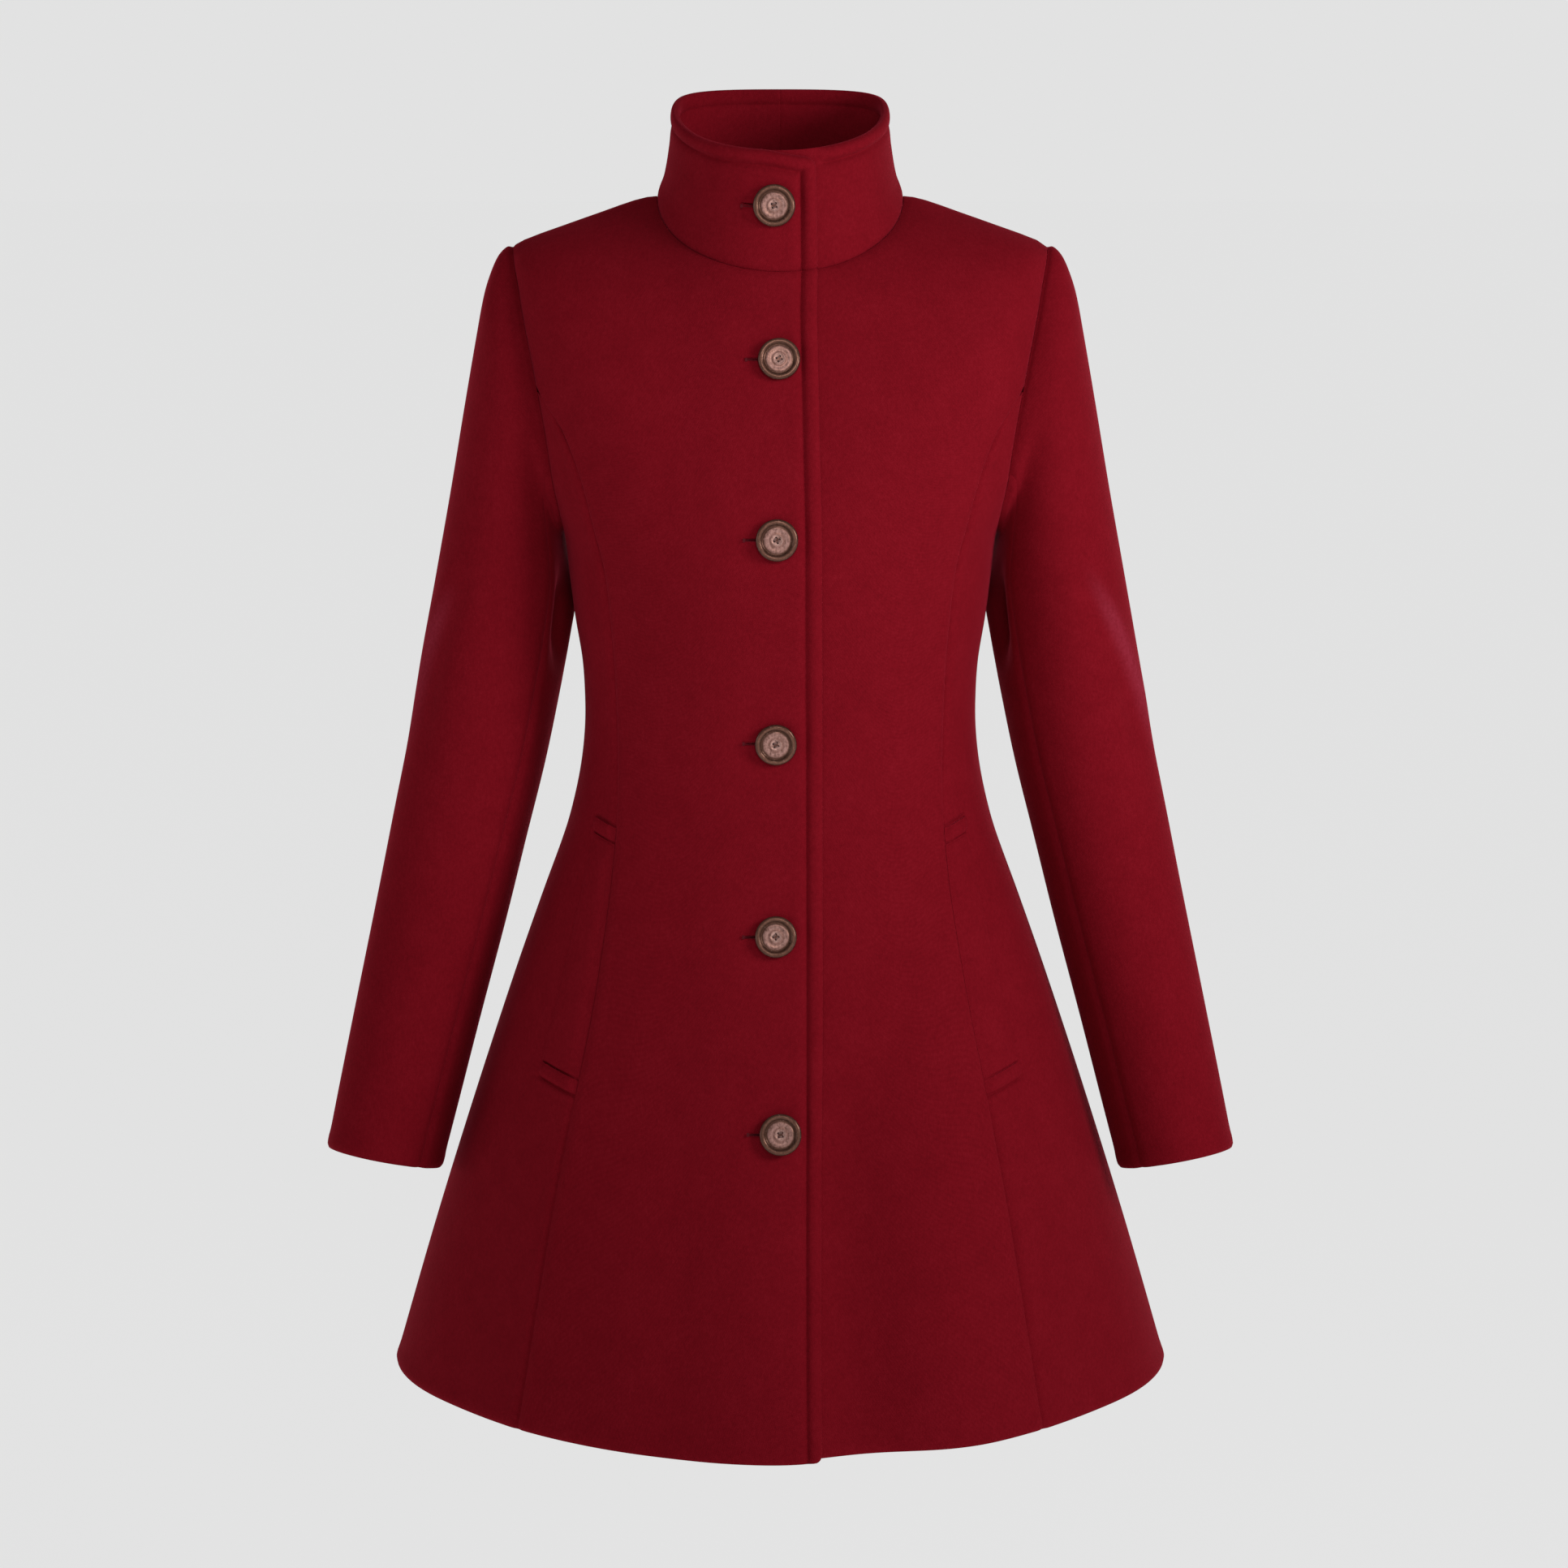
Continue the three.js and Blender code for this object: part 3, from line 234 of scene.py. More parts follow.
def body_at(angle, level):
    """A point of the body's outer face. Angle 0 is the front, a quarter turn the wearer's left."""
    ahead = np.cos(angle) > 0
    depth = np.where(ahead, body_front(level), body_back(level))
    drop = np.where(ahead, front_drop(level), back_drop(level))
    plain = reach(angle, body_half(level), depth, body_square(level))
    fall = drop * (np.abs(plain * np.cos(angle)) / depth) ** body_round(level)
    grow = smooth((level - FOLD_TOP) / (HEM_LEVEL - FOLD_TOP))
    fold = sum(depth_at_hem * bell(angle - a, spread) for a, spread, depth_at_hem in SKIRT_FOLDS)
    r = plain - grow * fold
    return np.stack([r * np.sin(angle), -r * np.cos(angle), -level - fall], axis=-1)


def collar_at(angle, rise):
    """A point of the collar's outer face, with rise from 0 at the neck seam to 1 at the rim."""
    ahead = np.cos(angle) > 0
    depth = np.where(ahead, neck_front(rise), neck_back(rise))
    end_z = np.where(ahead, neck_front_z(rise), neck_back_z(rise))
    r = reach(angle, neck_half(rise), depth, np.where(ahead, 2, 2 + RIM_SQUARE * rise))
    y = -r * np.cos(angle)
    share = np.abs(y) / depth
    arch = np.where(ahead, 0, RIM_ARCH * rise * share * (1 - share))
    z = mix(neck_side_z(rise), end_z, share + arch)
    return np.stack([r * np.sin(angle), y, z], axis=-1)


def unit(v):
    return v / np.linalg.norm(v, axis=-1, keepdims=True)


def facing(surface, u, v, du, dv):
    along_u = surface(u + du, v) - surface(u - du, v)
    along_v = surface(u, v + dv) - surface(u, v - dv)
    return unit(np.cross(along_u, along_v))


ANGLE_STEP = 0.004


def body_out(angle, level):
    return -facing(body_at, angle, np.clip(level, 0.5, HEM_LEVEL - 1), ANGLE_STEP, 0.5)


def collar_out(angle, rise):
    return facing(collar_at, angle, np.clip(rise, 0.01, 0.99), ANGLE_STEP, 0.01)


def solve(rising, high, target):
    """Where a rising function of a value between 0 and high reaches its target."""
    low = np.zeros(np.shape(target))
    high = low + high
    for _ in range(34):
        middle = (low + high) / 2
        under = rising(middle) < target
        low = np.where(under, middle, low)
        high = np.where(under, high, middle)
    return (low + high) / 2


def angle_at_x(x, level):
    x, level = np.broadcast_arrays(np.asarray(x, float), np.asarray(level, float))
    return np.sign(x) * solve(lambda t: body_at(t, level)[..., 0], QUARTER, np.abs(x))


def armhole_level(turn):
    return TIP_LEVEL + (1 - np.cos(turn)) / 2 * (UNDERARM_LEVEL - TIP_LEVEL)


def armhole_share(level):
    """How far down the armhole a level lies, from 0 at the shoulder's tip to 1 at the underarm."""
    return np.clip((level - TIP_LEVEL) / (UNDERARM_LEVEL - TIP_LEVEL), 0, 1)


def armhole_angle(level, side):
    """The armhole's edge at a level, as an angle on the wearer's left side."""
    level = np.asarray(level, float)
    share = armhole_share(level)
    egg = (1 - np.abs(2 * share - 1) ** ARMHOLE_SQUARE) ** (1 / ARMHOLE_SQUARE)
    depth = ARMHOLE_DEPTH[side] * egg * (1 - 0.3 * (1 - share) ** 2)
    way = -1 if side == "front" else 1
    found = solve(lambda t: way * body_at(QUARTER + way * t, level)[..., 1], QUARTER, depth)
    return QUARTER + way * np.where(depth > 0, found, 0)


# The armhole's edge by turn: 0 at the top of the cap, half a turn at the underarm
ARMHOLE_TURNS = np.linspace(0, math.pi, 1201)
ARMHOLE_EDGE = {}
for armhole_side in ("front", "back"):
    edge_levels = armhole_level(ARMHOLE_TURNS)
    ARMHOLE_EDGE[armhole_side] = body_at(armhole_angle(edge_levels, armhole_side), edge_levels)


def sleeve_ring(turn, row):
    across = (1 + np.cos(turn)) / 2
    ahead = np.sin(turn)
    depth = np.where(ahead > 0, sleeve_front(row), sleeve_back(row))
    x = mix(inner_x(row), outer_x(row), across)
    z = mix(inner_z(row), outer_z(row), across) + ahead * sleeve_lift(row)
    y = sleeve_middle(row) + sleeve_behind(row) * (1 - across) ** 2 - ahead * depth
    return np.stack([x, y, z], axis=-1)


def sleeve_at(turn, row):
    """A point of the left sleeve's outer face. Turn is positive in front."""
    turn = np.where(turn > math.pi, turn - 2 * math.pi, turn)
    start = []
    for k in range(3):
        ahead, behind = (
            np.interp(np.abs(turn), ARMHOLE_TURNS, ARMHOLE_EDGE[s][:, k]) for s in ("front", "back")
        )
        start.append(np.where(turn >= 0, ahead, behind))
    start = np.stack(start, axis=-1) - sleeve_ring(turn, np.zeros(np.shape(turn)))
    fade = (1 - smooth(row / CAP_ROWS))[..., None]
    return sleeve_ring(turn, row) + fade * start + np.array([SLEEVE_SET, 0, 0])


def sleeve_out(turn, row):
    return facing(sleeve_at, turn, np.clip(row, 0.3, len(SLEEVE_RINGS) - 1.05), 0.01, 0.05)


def sleeve_turn(turn, row):
    """Moves the sleeve's front seam to its inner side on the way to the elbow."""
    shift = FRONT_SEAM_SHIFT * smooth(row / ELBOW_ROW)
    upper = turn * (1 + shift / SEAM_TURN)
    under = math.pi - (math.pi - turn) * (1 - shift / (math.pi - SEAM_TURN))
    moved = np.where(turn <= SEAM_TURN, upper, under)
    return np.where((turn < 0) | (turn > math.pi), turn, moved)


def lap_lift(x):
    return LAP_LIFT * smooth((x + 80) / 48)


def collar_sink(x):
    return COLLAR_SINK * smooth((60 - x) / 28)


def corner_drop(distance, radius):
    inside = np.clip(radius - distance, 0, radius)
    return radius - np.sqrt(radius**2 - inside**2)


# Rows shared by the panels: the shoulder, the armhole by turn, and the skirt down to the hem
PRINCESS_TURN = math.acos(1 - 2 * PRINCESS_START)
PRINCESS_LEVEL = armhole_level(PRINCESS_TURN)
SEAM_TURN = math.acos(1 - 2 * SLEEVE_SEAM)
SHOULDER_ROWS = (0, 1.2, 3.2, 6.5, 11, 16, 21, 26, 30.5)
UPPER_TURNS = np.linspace(0, PRINCESS_TURN, 29)
MIDDLE_TURNS = np.linspace(PRINCESS_TURN, SEAM_TURN, 13)
LOWER_TURNS = np.linspace(SEAM_TURN, math.pi, 23)
BODY_TURNS = np.concatenate([UPPER_TURNS[:-1], MIDDLE_TURNS[:-1], LOWER_TURNS])
HEM_ROWS = HEM_LEVEL - np.array([13, 9.5, 6.5, 4, 2.2, 1, 0.35, 0])
SKIRT_ROWS = np.concatenate([np.linspace(UNDERARM_LEVEL, HEM_ROWS[0], 126)[1:], HEM_ROWS[1:]])
LEVELS = np.concatenate([SHOULDER_ROWS, armhole_level(BODY_TURNS), SKIRT_ROWS])


def arc_from_start(at, axis):
    """Distance along the cloth from the first row or column of a net of points."""
    gone = np.linalg.norm(np.diff(at, axis=axis), axis=-1)
    return np.concatenate([np.zeros_like(np.take(gone, [0], axis)), np.cumsum(gone, axis)], axis)


def seam_dip(distance, depth, width, swell):
    """The cloth rolls down into a seam and swells a little beside it."""
    return swell * bell(distance - 7, 3.5) - depth * bell(distance, width)


# Creases and hollows, each in its own size: piece kind, front or back, the two ends
# seen from the front (x, z), how far it bows, its half spread, and how far it stands out
SOFT_FOLDS = (
    ("sleeve", "front", (220, -262), (257, -362), -3, 4.5, 1.8),
    ("sleeve", "front", (208, -262), (246, -366), -4, 7, -2.6),
    ("sleeve", "front", (-231, -262), (-257, -362), 3, 4.5, 1.6),
    ("sleeve", "front", (-219, -266), (-246, -366), 4, 7.5, -2.3),
    ("sleeve", "front", (139, -236), (148, -316), 0, 8, -15),
    ("sleeve", "front", (-139, -236), (-148, -316), 0, 8, -15),
    ("body", "front", (-44, -56), (-8, -84), 0, 5, 1.0),
    ("body", "front", (-48, -67), (-12, -96), 0, 5.5, -1.1),
    ("sleeve", "back", (208, -262), (254, -352), -4, 7, 1.4),
    ("sleeve", "back", (196, -284), (246, -388), -3, 13, -2.6),
    ("sleeve", "back", (-214, -274), (-252, -372), 3, 8, 1.2),
    ("sleeve", "back", (-198, -296), (-240, -384), 5, 14, -2.2),
    ("sleeve", "back", (186, -372), (226, -424), 3, 12, -1.5),
    ("sleeve", "back", (-190, -362), (-224, -408), -3, 10, -1.2),
    ("body", "front", (40, -600), (54, -826), 4, 34, -9.5),
    ("body", "front", (106, -540), (128, -826), 4, 32, 5.5),
    ("body", "front", (-190, -610), (-232, -826), -5, 20, -1.4),
    ("body", "front", (-96, -660), (-112, -826), -3, 26, 1.2),
    ("body", "front", (200, -650), (226, -826), 4, 18, -0.8),
    ("body", "back", (30, -560), (52, -826), 5, 24, -2.2),
    ("body", "back", (-84, -600), (-118, -826), -6, 20, 1.8),
    ("body", "back", (-38, -640), (-60, -826), 3, 18, -1.6),
    ("body", "back", (128, -590), (172, -826), 6, 24, 1.7),
    ("body", "back", (60, -330), (96, -356), -4, 10, -1.3),
    ("body", "back", (-52, -338), (-92, -366), 4, 11, -1.5),
    ("body", "back", (108, -250), (84, -318), 3, 14, -1.2),
    ("body", "back", (-110, -244), (-88, -322), -3, 13, -1.0),
    ("body", "front", (118, -236), (96, -330), 3, 15, -1.2),
    ("body", "front", (-120, -244), (-98, -322), -4, 14, -1.0),
)


# Painted highlights along the elbow creases, where they catch the light: a paler colour, laid out
# like the folds
PAINTED_CREASE_HIGHLIGHT = (
    ("sleeve", "front", (221, -272), (257.5, -364), -2.5, 4.2, 0.85),
    ("sleeve", "front", (-233, -280), (-257.5, -364), 2.5, 4.8, 0.7),
)


def soft_folds(table, kind, at, out):
    """The summed height of a table's folds at points of a piece."""
    total = np.zeros(at.shape[:-1])
    for form, side, start, end, bow, spread, rise in table:
        if form != kind:
            continue
        start, end = np.array(start, float), np.array(end, float)
        way = (end - start) / np.linalg.norm(end - start)
        place = at[..., [0, 2]] - start
        t = place @ way / np.linalg.norm(end - start)
        off = place[..., 0] * way[1] - place[..., 1] * way[0] - bow * 4 * t * (1 - t)
        toward = out[..., 1] * (-1 if side == "front" else 1)
        fade = smooth((t + 0.3) / 0.5) * smooth((1.3 - t) / 0.5) * smooth((toward + 0.1) / 0.5)
        total += rise * fade * bell(off, spread)
    return total


def princess_depth(level):
    """The front seam lies deep over the bust and is flatter at the pocket."""
    at_armhole = 0.4 * smooth((PRINCESS_LEVEL - 4 - level) / 8)
    over_bust = 1.75 * smooth((level - PRINCESS_LEVEL - 3) / 14)
    waist = -0.75 * smooth((level - 350) / 70)
    skirt = 0.5 * smooth((level - 605) / 30)
    return at_armhole + over_bust + waist + skirt


class Cloth:
    """A net of points on a cloth's plain face, with its outward directions and reliefs."""

    def __init__(self, at, out, wall):
        self.at, self.out = at, out
        self.wall = np.broadcast_to(wall, at.shape[:-1])
        self.face = np.zeros(at.shape[:-1])
        self.inside = np.zeros(at.shape[:-1])
        self.flat = np.stack([arc_from_start(at, 1), arc_from_start(at, 0)], axis=-1)

    def mirrored(self):
        flip = np.array([-1.0, 1, 1])
        other = Cloth(self.at * flip, self.out * flip, self.wall)
        other.face, other.inside = self.face.copy(), self.inside.copy()
        return other

    def from_edge(self, edge):
        """Distance along the cloth from one of the net's four edges."""
        gone = self.flat[..., 0] if edge in ("first", "last") else self.flat[..., 1]
        if edge == "last":
            return gone[:, -1:] - gone
        if edge == "bottom":
            return gone[-1:, :] - gone
        return gone

    def relief(self, height):
        """Raises the outer face."""
        self.face = self.face + height
        return self

    def dip(self, edge, depth, width, swell):
        """Rolls the outer face down into the seam at an edge."""
        return self.relief(seam_dip(self.from_edge(edge), depth, width, swell))

    def dip_cap(self):
        """A sleeve's slight puff below its seam with the armhole."""
        distance = self.from_edge("top")
        return self.relief(0.15 * bell(distance - 10, 7)).relief(-0.35 * bell(distance, 2))

    def roll_hem(self):
        """The turned-up hem: a rounded lower edge and a slight fullness above it."""
        distance = self.from_edge("bottom")
        return self.relief(0.5 * bell(distance - 6, 5) - 1.0 * bell(distance, 1.2))


def linked(name, data):
    """A new object in the scene that shows a mesh, a curve, a light or a camera."""
    obj = bpy.data.objects.new(name, data)
    bpy.context.collection.objects.link(obj)
    return obj


def as_mesh(name, bm):
    """The mesh of a finished bmesh."""
    mesh = bpy.data.meshes.new(name)
    bm.to_mesh(mesh)
    bm.free()
    return mesh


def as_finished(obj):
    """The mesh of an object with its modifiers or its bevel applied."""
    bpy.context.view_layer.update()
    return bpy.data.meshes.new_from_object(obj.evaluated_get(bpy.context.evaluated_depsgraph_get()))


def cloth_piece(name, cloth, kind, holes=()):
    """Makes a closed wall of cloth from its net. Holes are cells of the net that are left out."""
    rows, cols = cloth.wall.shape
    bend = soft_folds(SOFT_FOLDS, kind, cloth.at, cloth.out)
    # Painted highlight along the elbow creases, which the wool's colour reads from a point attribute
    pale = soft_folds(PAINTED_CREASE_HIGHLIGHT, kind, cloth.at, cloth.out)
    outer = cloth.at + cloth.out * (bend + cloth.face)[..., None]
    inner = cloth.at + cloth.out * (bend + cloth.inside - cloth.wall)[..., None]
    bm = bmesh.new()
    bmesh.ops.create_grid(bm, x_segments=cols - 1, y_segments=rows - 1, size=1)
    if holes:
        left_out = set(holes)
        gone = [f for f in bm.faces if net_cell(f.calc_center_median(), rows, cols) in left_out]
        bmesh.ops.delete(bm, geom=gone, context="FACES")
    bmesh.ops.solidify(bm, geom=bm.faces[:], thickness=1)
    mesh = as_mesh(name, bm)
    net = np.empty(len(mesh.vertices) * 3)
    mesh.vertices.foreach_get("co", net)
    net = net.reshape(-1, 3)
    i = np.rint((net[:, 1] + 1) / 2 * (rows - 1)).astype(int)
    j = np.rint((net[:, 0] + 1) / 2 * (cols - 1)).astype(int)
    behind = np.abs(net[:, 2]) > 0.5
    places = np.where(behind[:, None], inner[i, j], outer[i, j]) * MM
    mesh.vertices.foreach_set("co", places.ravel())
    corner = np.empty(len(mesh.loops), int)
    mesh.loops.foreach_get("vertex_index", corner)
    flat = mesh.uv_layers.new(name="cloth_grain")
    flat.uv.foreach_set("vector", (cloth.flat[i, j] * MM)[corner].ravel())
    mesh.attributes.new("pale_nap", "FLOAT", "POINT").data.foreach_set("value", pale[i, j])
    mesh.update()
    obj = linked(name, mesh)
    turn_out(mesh, behind, cloth.out, i, j)
    mesh.shade_smooth()
    edge = obj.modifiers.new("rounded_edge", "BEVEL")
    edge.width, edge.segments, edge.limit_method = 0.3 * MM, 2, "ANGLE"
    edge.angle_limit = math.radians(50)
    edge.use_clamp_overlap = True
    return obj


def net_cell(middle, rows, cols):
    """The row and column of a grid's face, from its middle in the square of -1 to 1."""
    return int((middle.y + 1) / 2 * (rows - 1)), int((middle.x + 1) / 2 * (cols - 1))


def turn_out(mesh, behind, out, i, j):
    """Flips a wall whose faces point in."""
    front = next(f for f in mesh.polygons if not behind[list(f.vertices)].any())
    v = front.vertices[0]
    if np.dot(np.array(front.normal), out[i[v], j[v]]) < 0:
        bm = bmesh.new()
        bm.from_mesh(mesh)
        bmesh.ops.reverse_faces(bm, faces=bm.faces[:])
        bm.to_mesh(mesh)
        bm.free()


def half_gap(angle, level):
    """Half of the gap in a seam of the body, as an angle."""
    across = body_at(angle + ANGLE_STEP, level) - body_at(angle - ANGLE_STEP, level)
    return SEAM_GAP * ANGLE_STEP / np.linalg.norm(across, axis=-1)


def body_net(angles, levels):
    """A net on the body. Points on a seam down the side face the seam's own way."""
    side = np.sign(angles) * QUARTER
    look = np.where(np.abs(angles - side) < ANGLE_STEP, side, angles)
    out = body_out(look, levels)
    neck = np.broadcast_to(levels == 0, angles.shape)
    mitre = unit(body_out(look, levels * 0) + collar_out(look, levels * 0))
    return Cloth(body_at(angles, levels), np.where(neck[..., None], mitre, out), CLOTH)


def mitre_armhole(cloth, column, levels, side):
    """Gives a panel's edge along the armhole the direction that it shares with the sleeve."""
    held = (levels >= TIP_LEVEL - TINY) & (levels <= UNDERARM_LEVEL + TINY)
    turn = np.arccos(1 - 2 * armhole_share(levels[held])) * (1 if side == "front" else -1)
    angle = armhole_angle(levels[held], side)
    shared = unit(body_out(angle, levels[held]) + sleeve_out(turn, np.zeros_like(turn)))
    cloth.out[np.flatnonzero(held), column] = shared


def front_panel_end(levels):
    """Where the centre front panel ends on the wearer's left: the armhole, then the princess seam."""
    edge = armhole_angle(levels, "front")
    seam = angle_at_x(princess_x(np.maximum(levels, PRINCESS_LEVEL)), levels)
    return np.where(levels < PRINCESS_LEVEL - TINY, edge, np.minimum(seam, edge - 0.008))


def centre_level(z):
    """The level at which the centre front has a given height."""
    return float(solve(lambda level: -body_at(0.0, level)[..., 2], HEM_LEVEL, np.array(-float(z))))


BUTTON_LEVELS = [centre_level(z) for _, z in FRONT_BUTTONS]


def button_seats():
    """The six buttons' places on the upper front's face and their outward directions."""
    angle = angle_at_x(COLLAR_BUTTON[0], 0.0)
    rise = np.array(COLLAR_BUTTON[1])
    seats = [(collar_at(angle, rise), collar_out(angle, rise))]
    for (x, _), level in zip(FRONT_BUTTONS, BUTTON_LEVELS):
        angle = angle_at_x(x, level)
        seats.append((body_at(angle, level), body_out(angle, level)))
    return [(at + LAP_LIFT * out, out) for at, out in seats]


# Rows beside a buttonhole's middle, and how far the three rows on each side stand off its lips
SLIT_ROWS = (-6, -3.4, -1.7, -0.5, 0.5, 1.7, 3.4, 6)
LIP_ROWS = (0, 1.2, 2.6)


def with_fine_rows(rows, middles, offsets, clear):
    """Adds rows close round each middle and drops the plain ones that aren't clear of it."""
    kept = [row for row in rows if all(abs(row - middle) > clear for middle in middles)]
    return np.array(sorted(kept + [middle + offset for middle in middles for offset in offsets]))


def slit_half_height(x, button_x):
    """Half the buttonhole's opening at a distance from the centre line: an eyelet, then a slit."""
    away = button_x - x
    slit = mix(0.95, 0.12, np.clip(away / SLIT_REACH, 0, 1))
    eyelet = np.sqrt(np.clip(2.4**2 - away**2, 0, None))
    return np.maximum(slit, eyelet)


def buttonhole(x, button_x):
    """Where a buttonhole is open, half its height there, and how far the rest is from its ends."""
    past_eyelet = x - (button_x + EYELET_REACH)
    past_slit = button_x - SLIT_REACH - x
    is_open = (past_eyelet < 0) & (past_slit < 0)
    half = np.where(is_open, slit_half_height(x, button_x), 0.3)
    return is_open, half, np.clip(np.maximum(past_eyelet, past_slit), 0, None)


def lip(distance):
    """The raised, rounded edge of a buttonhole."""
    return 0.45 * bell(distance - 1.2, 1.1) - 0.5 * bell(distance, 0.8)


# Columns over the edge band by distance from the edge, and how many follow as far as the lower
# front's edge and over the rest of a front
BAND_COLUMNS = np.array([0, 0.35, 0.9, 1.8, 3, 4.6, 6.4, 8, 9.2, 10, 10.7, 11.4, 12.4, 14, 16])
SLIT_COLUMNS = 22
REST_COLUMNS = 38
UNDER_COLUMNS = 18
UNDER_REACH = 14  # how far these columns of the lower front go past the upper front's edge
FRONT_CORNER_HEIGHT = 30  # how far above the hem the shape of the fronts' lower corners begins
NO_EDGE = 400.0  # a distance that no edge's relief reaches


def front_columns(levels):
    """Distances from the centre line of the fine columns at the lap, for the upper front."""
    edge = front_edge_x(levels)
    inner = edge - BAND_COLUMNS[-1]
    return np.concatenate([edge - BAND_COLUMNS, mix(inner, -LAP_EDGE, shares(SLIT_COLUMNS))], axis=1)


def to_front_end(near, end):
    """Adds the columns from the lap to the end of a front panel."""
    return np.concatenate([near, mix(near[:, -1:], end, shares(REST_COLUMNS))], axis=1)


def near_hem(levels):
    """1 at the hem, falling to 0 where the shape of a front's lower corner begins."""
    return smooth((levels - HEM_LEVEL + FRONT_CORNER_HEIGHT) / FRONT_CORNER_HEIGHT)


def mitre_front(cloth, rows):
    """Mitres the part of a front's last column that runs along the left armhole."""
    held = (rows <= PRINCESS_LEVEL + TINY) & (rows >= TIP_LEVEL - TINY)
    mitre_armhole(cloth, -1, np.where(held, rows, -1.0), "front")


def dip_front(cloth, levels):
    """Sinks a front along its princess seam and its top seams, and rolls its hem."""
    cloth.dip("last", princess_depth(levels), 1.9, 0.3).dip("top", 0.8, 1.7, 0.15).roll_hem()


def right_front_net():
    """The wearer's right front, which laps over. Its edge lies on the wearer's left."""
    rows = with_fine_rows(LEVELS, BUTTON_LEVELS, SLIT_ROWS, 8)
    levels = rows[:, None]
    x = front_columns(levels)
    lap = x.shape[1]
    end = -front_panel_end(rows)[:, None]
    end = end + half_gap(end, levels)
    angles = to_front_end(angle_at_x(x, levels), end)
    distance = np.full(angles.shape, NO_EDGE)
    distance[:, :lap] = front_edge_x(levels) - x
    at_levels = levels - near_hem(levels) * corner_drop(distance, HEM_CORNER)
    slits = []
    opened = np.zeros_like(angles)
    for middle, (button_x, _) in zip(BUTTON_LEVELS, FRONT_BUTTONS):
        lower_lip = int(np.argmin(np.abs(rows - (middle + 0.5))))
        upper_lip = lower_lip - 1
        is_open, half, off_x = buttonhole(x, button_x)
        for step, off_lip in enumerate(LIP_ROWS):
            for row, way in ((upper_lip - step, -1), (lower_lip + step, 1)):
                at_levels[row, :lap] = middle + way * (half[row] + off_lip)
        cells = np.flatnonzero(is_open[upper_lip, :-1] & is_open[upper_lip, 1:])
        slits += [(upper_lip, int(c)) for c in cells]
        off_level = np.clip(np.abs(at_levels[:, :lap] - middle) - half, 0, None)
        opened[:, :lap] += lip(np.hypot(off_x, off_level)) * (np.abs(levels - middle) < 12)
    net = body_net(angles, at_levels)
    net.at = net.at + net.out * lap_lift(net.at[..., 0])[..., None]
    left = net.mirrored()
    mitre_front(left, rows)
    net.out = left.mirrored().out
    band = edge_band(distance)
    net.face = band + opened
    net.inside = -0.5 * band
    dip_front(net, levels)
    return net, slits


def left_front_net():
    """The wearer's left front, which lies under the lap."""
    levels = LEVELS[:, None]
    share = np.arange(UNDER_COLUMNS) / (UNDER_COLUMNS - 1)
    x = mix(-LAP_EDGE + 0 * levels, front_edge_x(levels) + UNDER_REACH, share)
    end = front_panel_end(LEVELS)[:, None]
    angles = to_front_end(angle_at_x(x, levels), end - half_gap(end, levels))
    at_x = body_at(angles, levels + 0 * angles)[..., 0]
    rise = LEFT_HEM_RISE * smooth((150 - at_x) / 120) * near_hem(levels)
    net = body_net(angles, levels - rise)
    sink = collar_sink(at_x) * (1 - smooth(levels / 30))
    net.at = net.at - net.out * sink[..., None]
    mitre_front(net, LEVELS)
    dip_front(net, levels)
    return net


# Grooves along the ends of the bars and the welt: their levels, depths and rows
POCKET_LINES = (BAR_TOP, WELT_TOP, WELT_BOTTOM, BAR_BOTTOM)
GROOVE_DEPTHS = (1.5, 1.5, 0.6, 1.7)
GROOVE_WIDTH = 1.7
GROOVE_ROWS = (-4.2, -3, -2.1, -1.3, -0.6, 0, 0.6, 1.3, 2.1, 3, 4.2)
WELT_COLUMNS, SIDE_COLUMNS, BACK_COLUMNS = 13, 29, 66


def side_front_net():
    """The side front between the princess seam and the side seam, on the wearer's left.

    Its rows slant at the pocket, where the cloth sinks along the ends of the bars and the welt.
    """
    below_start = LEVELS[LEVELS >= PRINCESS_LEVEL - TINY]
    rows = with_fine_rows(below_start, POCKET_LINES, GROOVE_ROWS, 4.6)
    levels = rows[:, None]
    begin = front_panel_end(rows)[:, None]
    begin = begin + half_gap(begin, levels)
    seam = ((rows < TIP_LEVEL) | (rows > UNDERARM_LEVEL + TINY))[:, None]
    end = armhole_angle(rows, "front")[:, None]
    end = end - np.where(seam, half_gap(QUARTER, levels), 0)
    width = welt_width(levels)
    welt = np.minimum(angle_along(begin, width, levels), mix(begin, end, 0.45))
    across, rest = np.linspace(0, 1, WELT_COLUMNS), np.linspace(0, 1, SIDE_COLUMNS)[1:]
    angles = np.concatenate([mix(begin, welt, across), mix(welt, end, rest)], axis=1)
    near = smooth((levels - 376) / 40) * smooth((672 - levels) / 60)
    slant = POCKET_SLANT * width * near * np.concatenate([across, 1 - rest])
    net = body_net(angles, levels - slant)
    mitre_armhole(net, -1, rows, "front")
    net.dip("first", princess_depth(levels), 1.9, 0.3).dip("last", 0.5, 2.2, 0.15)
    past_welt = net.from_edge("first") - width
    pocket = smooth(-(past_welt - 1.5) / 2)
    for line, depth in zip(POCKET_LINES, GROOVE_DEPTHS):
        net.relief(-depth * bell(levels - line, GROOVE_WIDTH) * pocket)
    beside = smooth((levels - WELT_TOP) / 8) * smooth((WELT_BOTTOM - levels) / 8)
    return net.relief(-1.2 * bell(past_welt, 1.8) * beside).roll_hem()


